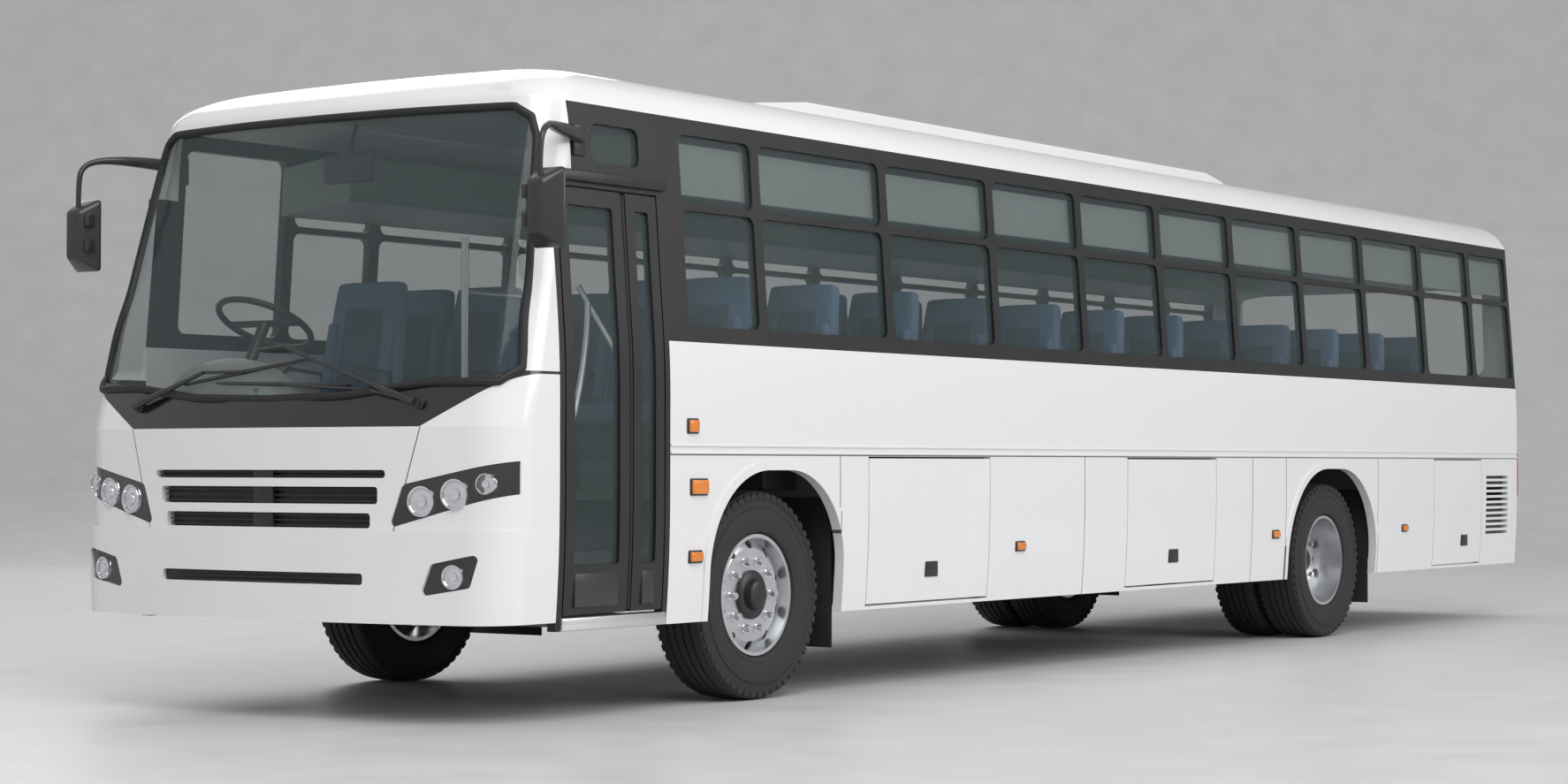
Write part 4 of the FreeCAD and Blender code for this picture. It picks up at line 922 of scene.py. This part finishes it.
class BUS_OT_mouldings(bpy.types.Operator):
    """Run the belt mouldings, the windscreen rubber and the rail over the door"""
    bl_idname = "bus.mouldings"
    bl_label = "Mouldings"

    def execute(self, context):
        white = bpy.data.materials["white_paint"]
        strips = []
        for sign in (1, -1):
            low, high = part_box("left_side_panel" if sign > 0 else "right_side_panel")
            for z in (1.181, 1.215):
                x = sign * (CAD_HALF + 0.001)
                strips.append(rod("strip", None, white, [(x, low[1], z), (x, high[1], z)], 0.007))
        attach(joined(strips, "belt_moulding"), "body")
        points = []
        screen_low, screen_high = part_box("windscreen")
        foot, head = 1.51, screen_high[2] - 0.005
        wide, narrow = screen_high[0] + 0.004, 1.146
        corner = 0.10
        half = [(0.0, screen_low[2] + 0.002), (0.45, screen_low[2] + 0.012), (0.9, screen_low[2] + 0.065),
                (wide - 0.06, foot - 0.03), (wide, foot + 0.03), (wide - 0.005, foot + 0.1),
                (narrow + 0.012, head - 0.14), (narrow - 0.02, head - 0.05), (narrow - corner, head),
                (0.5, head + 0.004)]
        outline = half + [(0.0, head + 0.004)] + [(-x, z) for x, z in reversed(half[1:])]
        for (x0, z0), (x1, z1) in zip(outline, outline[1:] + outline[:1]):
            for i in range(6):
                x, z = x0 + (x1 - x0) * i / 6, z0 + (z1 - z0) * i / 6
                found = under_point(FRONT_NODES, (x, CAD_BOX[0][1] - 1.0, z), (0, 1, 0))
                if found:
                    points.append(found[0] + Vector((0, -0.004, 0)))
        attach(rod("windscreen_rubber", None, rubber(), points, 0.019, closed=True, smooth=True), "body")
        low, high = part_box("entrance_frame")
        head_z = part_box("front_door")[1][2] + 0.05
        place, _ = on_side(1, high[1] - 0.1, head_z + 0.012, ["entrance_frame"])
        block("door_drip_rail", "body", black(), (place.x - 0.01, low[1] + 0.01, head_z - 0.02),
              (place.x + 0.028, high[1] + 0.02, head_z + 0.03), 0.01)
        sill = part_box("front_door")[0][2]
        block("door_sill", "body", material_of("sill_aluminium", plain, (0.7, 0.71, 0.72), 0.25, 0.9),
              (CAD_HALF - 0.06, low[1] + 0.03, sill - 0.07),
              (CAD_HALF - 0.008, high[1] - 0.02, sill - 0.012), 0.005)
        return {"FINISHED"}


class BUS_OT_wheel_details(bpy.types.Operator):
    """Add hub caps and wheel nuts"""
    bl_idname = "bus.wheel_details"
    bl_label = "Wheel details"

    def execute(self, context):
        for side, sign in (("left", 1), ("right", -1)):
            for end in ("front", "rear"):
                low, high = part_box("%s_%s_wheel" % (side, end))
                y, z = (low[1] + high[1]) / 2, (low[2] + high[2]) / 2
                disc = sign * DISC_X[end]
                nuts = []
                nut = [(0.0, 0.025), (0.006, 0.025), (0.008, 0.0175), (0.03, 0.0175), (0.034, 0.014),
                       (0.034, 0.0)]
                for i in range(WHEEL_STUDS):
                    angle = 2 * math.pi * i / WHEEL_STUDS
                    centre = (disc, y + STUD_CIRCLE * math.cos(angle), z + STUD_CIRCLE * math.sin(angle))
                    nuts.append(turning("nut", None, chrome(), nut, centre, (sign, 0, 0), 6))
                body = "%s_%s_wheel_set" % (side, end)
                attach(joined(nuts, body + "_nuts"), body)
                cap = [(-0.02, 0.118), (0.012, 0.118), (0.02, 0.108), (0.022, 0.075), (0.05, 0.068), (0.055, 0.06),
                       (0.056, 0.028), (0.06, 0.024), (0.06, 0.0)]
                turning(body + "_hub", body, black(), cap, (disc, y, z), (sign, 0, 0))
        return {"FINISHED"}


def aim(obj, target):
    obj.rotation_euler = (target - obj.location).to_track_quat("-Z", "Y").to_euler()


class BUS_OT_stage(bpy.types.Operator):
    """Set the floor, the studio light and the camera"""
    bl_idname = "bus.stage"
    bl_label = "Stage"

    def execute(self, context):
        look = context.scene.bus_finish
        bpy.ops.object.select_all(action="DESELECT")
        bend, reach, rise, width = 14.0, 16.0, 30.0, 160.0
        profile = [(-60.0, 0.0), (reach, 0.0)]
        profile += [(reach + bend * math.sin(math.radians(a)), bend - bend * math.cos(math.radians(a)))
                    for a in range(6, 91, 6)]
        profile.append((reach + bend, rise))
        away = Vector((-math.sin(VIEW_TURN), math.cos(VIEW_TURN), 0.0))
        across = Vector((math.cos(VIEW_TURN), math.sin(VIEW_TURN), 0.0))
        mesh = bpy.data.meshes.new("stage_sweep")
        start = [away * along + Vector((0, 0, up)) - across * width / 2 for along, up in profile]
        mesh.from_pydata(start, [(i, i + 1) for i in range(len(start) - 1)], [])
        floor = bpy.data.objects.new("stage_sweep", mesh)
        context.scene.collection.objects.link(floor)
        alone()
        floor.select_set(True)
        context.view_layer.objects.active = floor
        bpy.ops.object.mode_set(mode="EDIT")
        bpy.ops.mesh.select_all(action="SELECT")
        bpy.ops.mesh.extrude_region_move(TRANSFORM_OT_translate={"value": across * width})
        bpy.ops.object.mode_set(mode="OBJECT")
        bpy.ops.object.shade_smooth()
        floor.data.materials.append(plain("stage_grey", (0.62, 0.62, 0.625), 0.42, vary=0.04))
        world = context.scene.world or bpy.data.worlds.new("studio")
        context.scene.world = world
        world.use_nodes = True
        sky = world.node_tree.nodes["Background"]
        sky.inputs["Color"].default_value = (0.80, 0.80, 0.81, 1.0)
        sky.inputs["Strength"].default_value = 0.72
        for name, place, size, power in (("key_light", (10, -12, 14), 12.0, 1750.0),
                                         ("side_light", (16, 4, 8), 10.0, 900.0),
                                         ("back_light", (-14, 8, 12), 12.0, 900.0)):
            lamp = bpy.data.lights.new(name, "AREA")
            lamp.size, lamp.energy = size, power
            obj = bpy.data.objects.new(name, lamp)
            obj.location = Vector(place)
            context.scene.collection.objects.link(obj)
            aim(obj, Vector((0, 0, 1.5)))
        camera = bpy.data.objects.new("camera", bpy.data.cameras.new("camera"))
        camera.data.lens = look.camera_lens
        camera.data.clip_end = 300.0
        camera.location = (9.5013, -15.7061, 1.1233)
        camera.rotation_euler = (math.radians(90) + 0.024346, 0.0, VIEW_TURN)
        context.scene.collection.objects.link(camera)
        context.scene.camera = camera
        context.scene.view_settings.view_transform = "Standard"
        return {"FINISHED"}


class BUS_PT_panel(bpy.types.Panel):
    """Pieces of the bus"""
    bl_idname = "BUS_PT_panel"
    bl_label = "Bus"
    bl_space_type = "VIEW_3D"
    bl_region_type = "UI"
    bl_category = "Bus"

    def draw(self, context):
        for name in BusFinish.__annotations__:
            self.layout.prop(context.scene.bus_finish, name)
        for operator in OPERATORS:
            self.layout.operator(operator.bl_idname)


OPERATORS = (BUS_OT_finishes, BUS_OT_seats, BUS_OT_tyres, BUS_OT_mirrors, BUS_OT_wipers, BUS_OT_cab,
             BUS_OT_rear, BUS_OT_grille, BUS_OT_doors,
             BUS_OT_front_lamps, BUS_OT_side_lamps, BUS_OT_mouldings, BUS_OT_wheel_details, BUS_OT_stage)
CLASSES = (BusFinish,) + OPERATORS + (BUS_PT_panel,)


def register():
    for item in CLASSES:
        bpy.utils.register_class(item)
    bpy.types.Scene.bus_finish = PointerProperty(type=BusFinish)


def unregister():
    del bpy.types.Scene.bus_finish
    for item in reversed(CLASSES):
        bpy.utils.unregister_class(item)


def main():
    register()
    bpy.ops.bus.finishes()
    bpy.ops.bus.seats()
    bpy.ops.bus.tyres()
    bpy.ops.bus.mirrors()
    bpy.ops.bus.wipers()
    bpy.ops.bus.cab()
    bpy.ops.bus.rear()
    bpy.ops.bus.grille()
    bpy.ops.bus.doors()
    bpy.ops.bus.front_lamps()
    bpy.ops.bus.side_lamps()
    bpy.ops.bus.mouldings()
    bpy.ops.bus.wheel_details()
    bpy.ops.bus.stage()


if __name__ == "__main__":
    main()
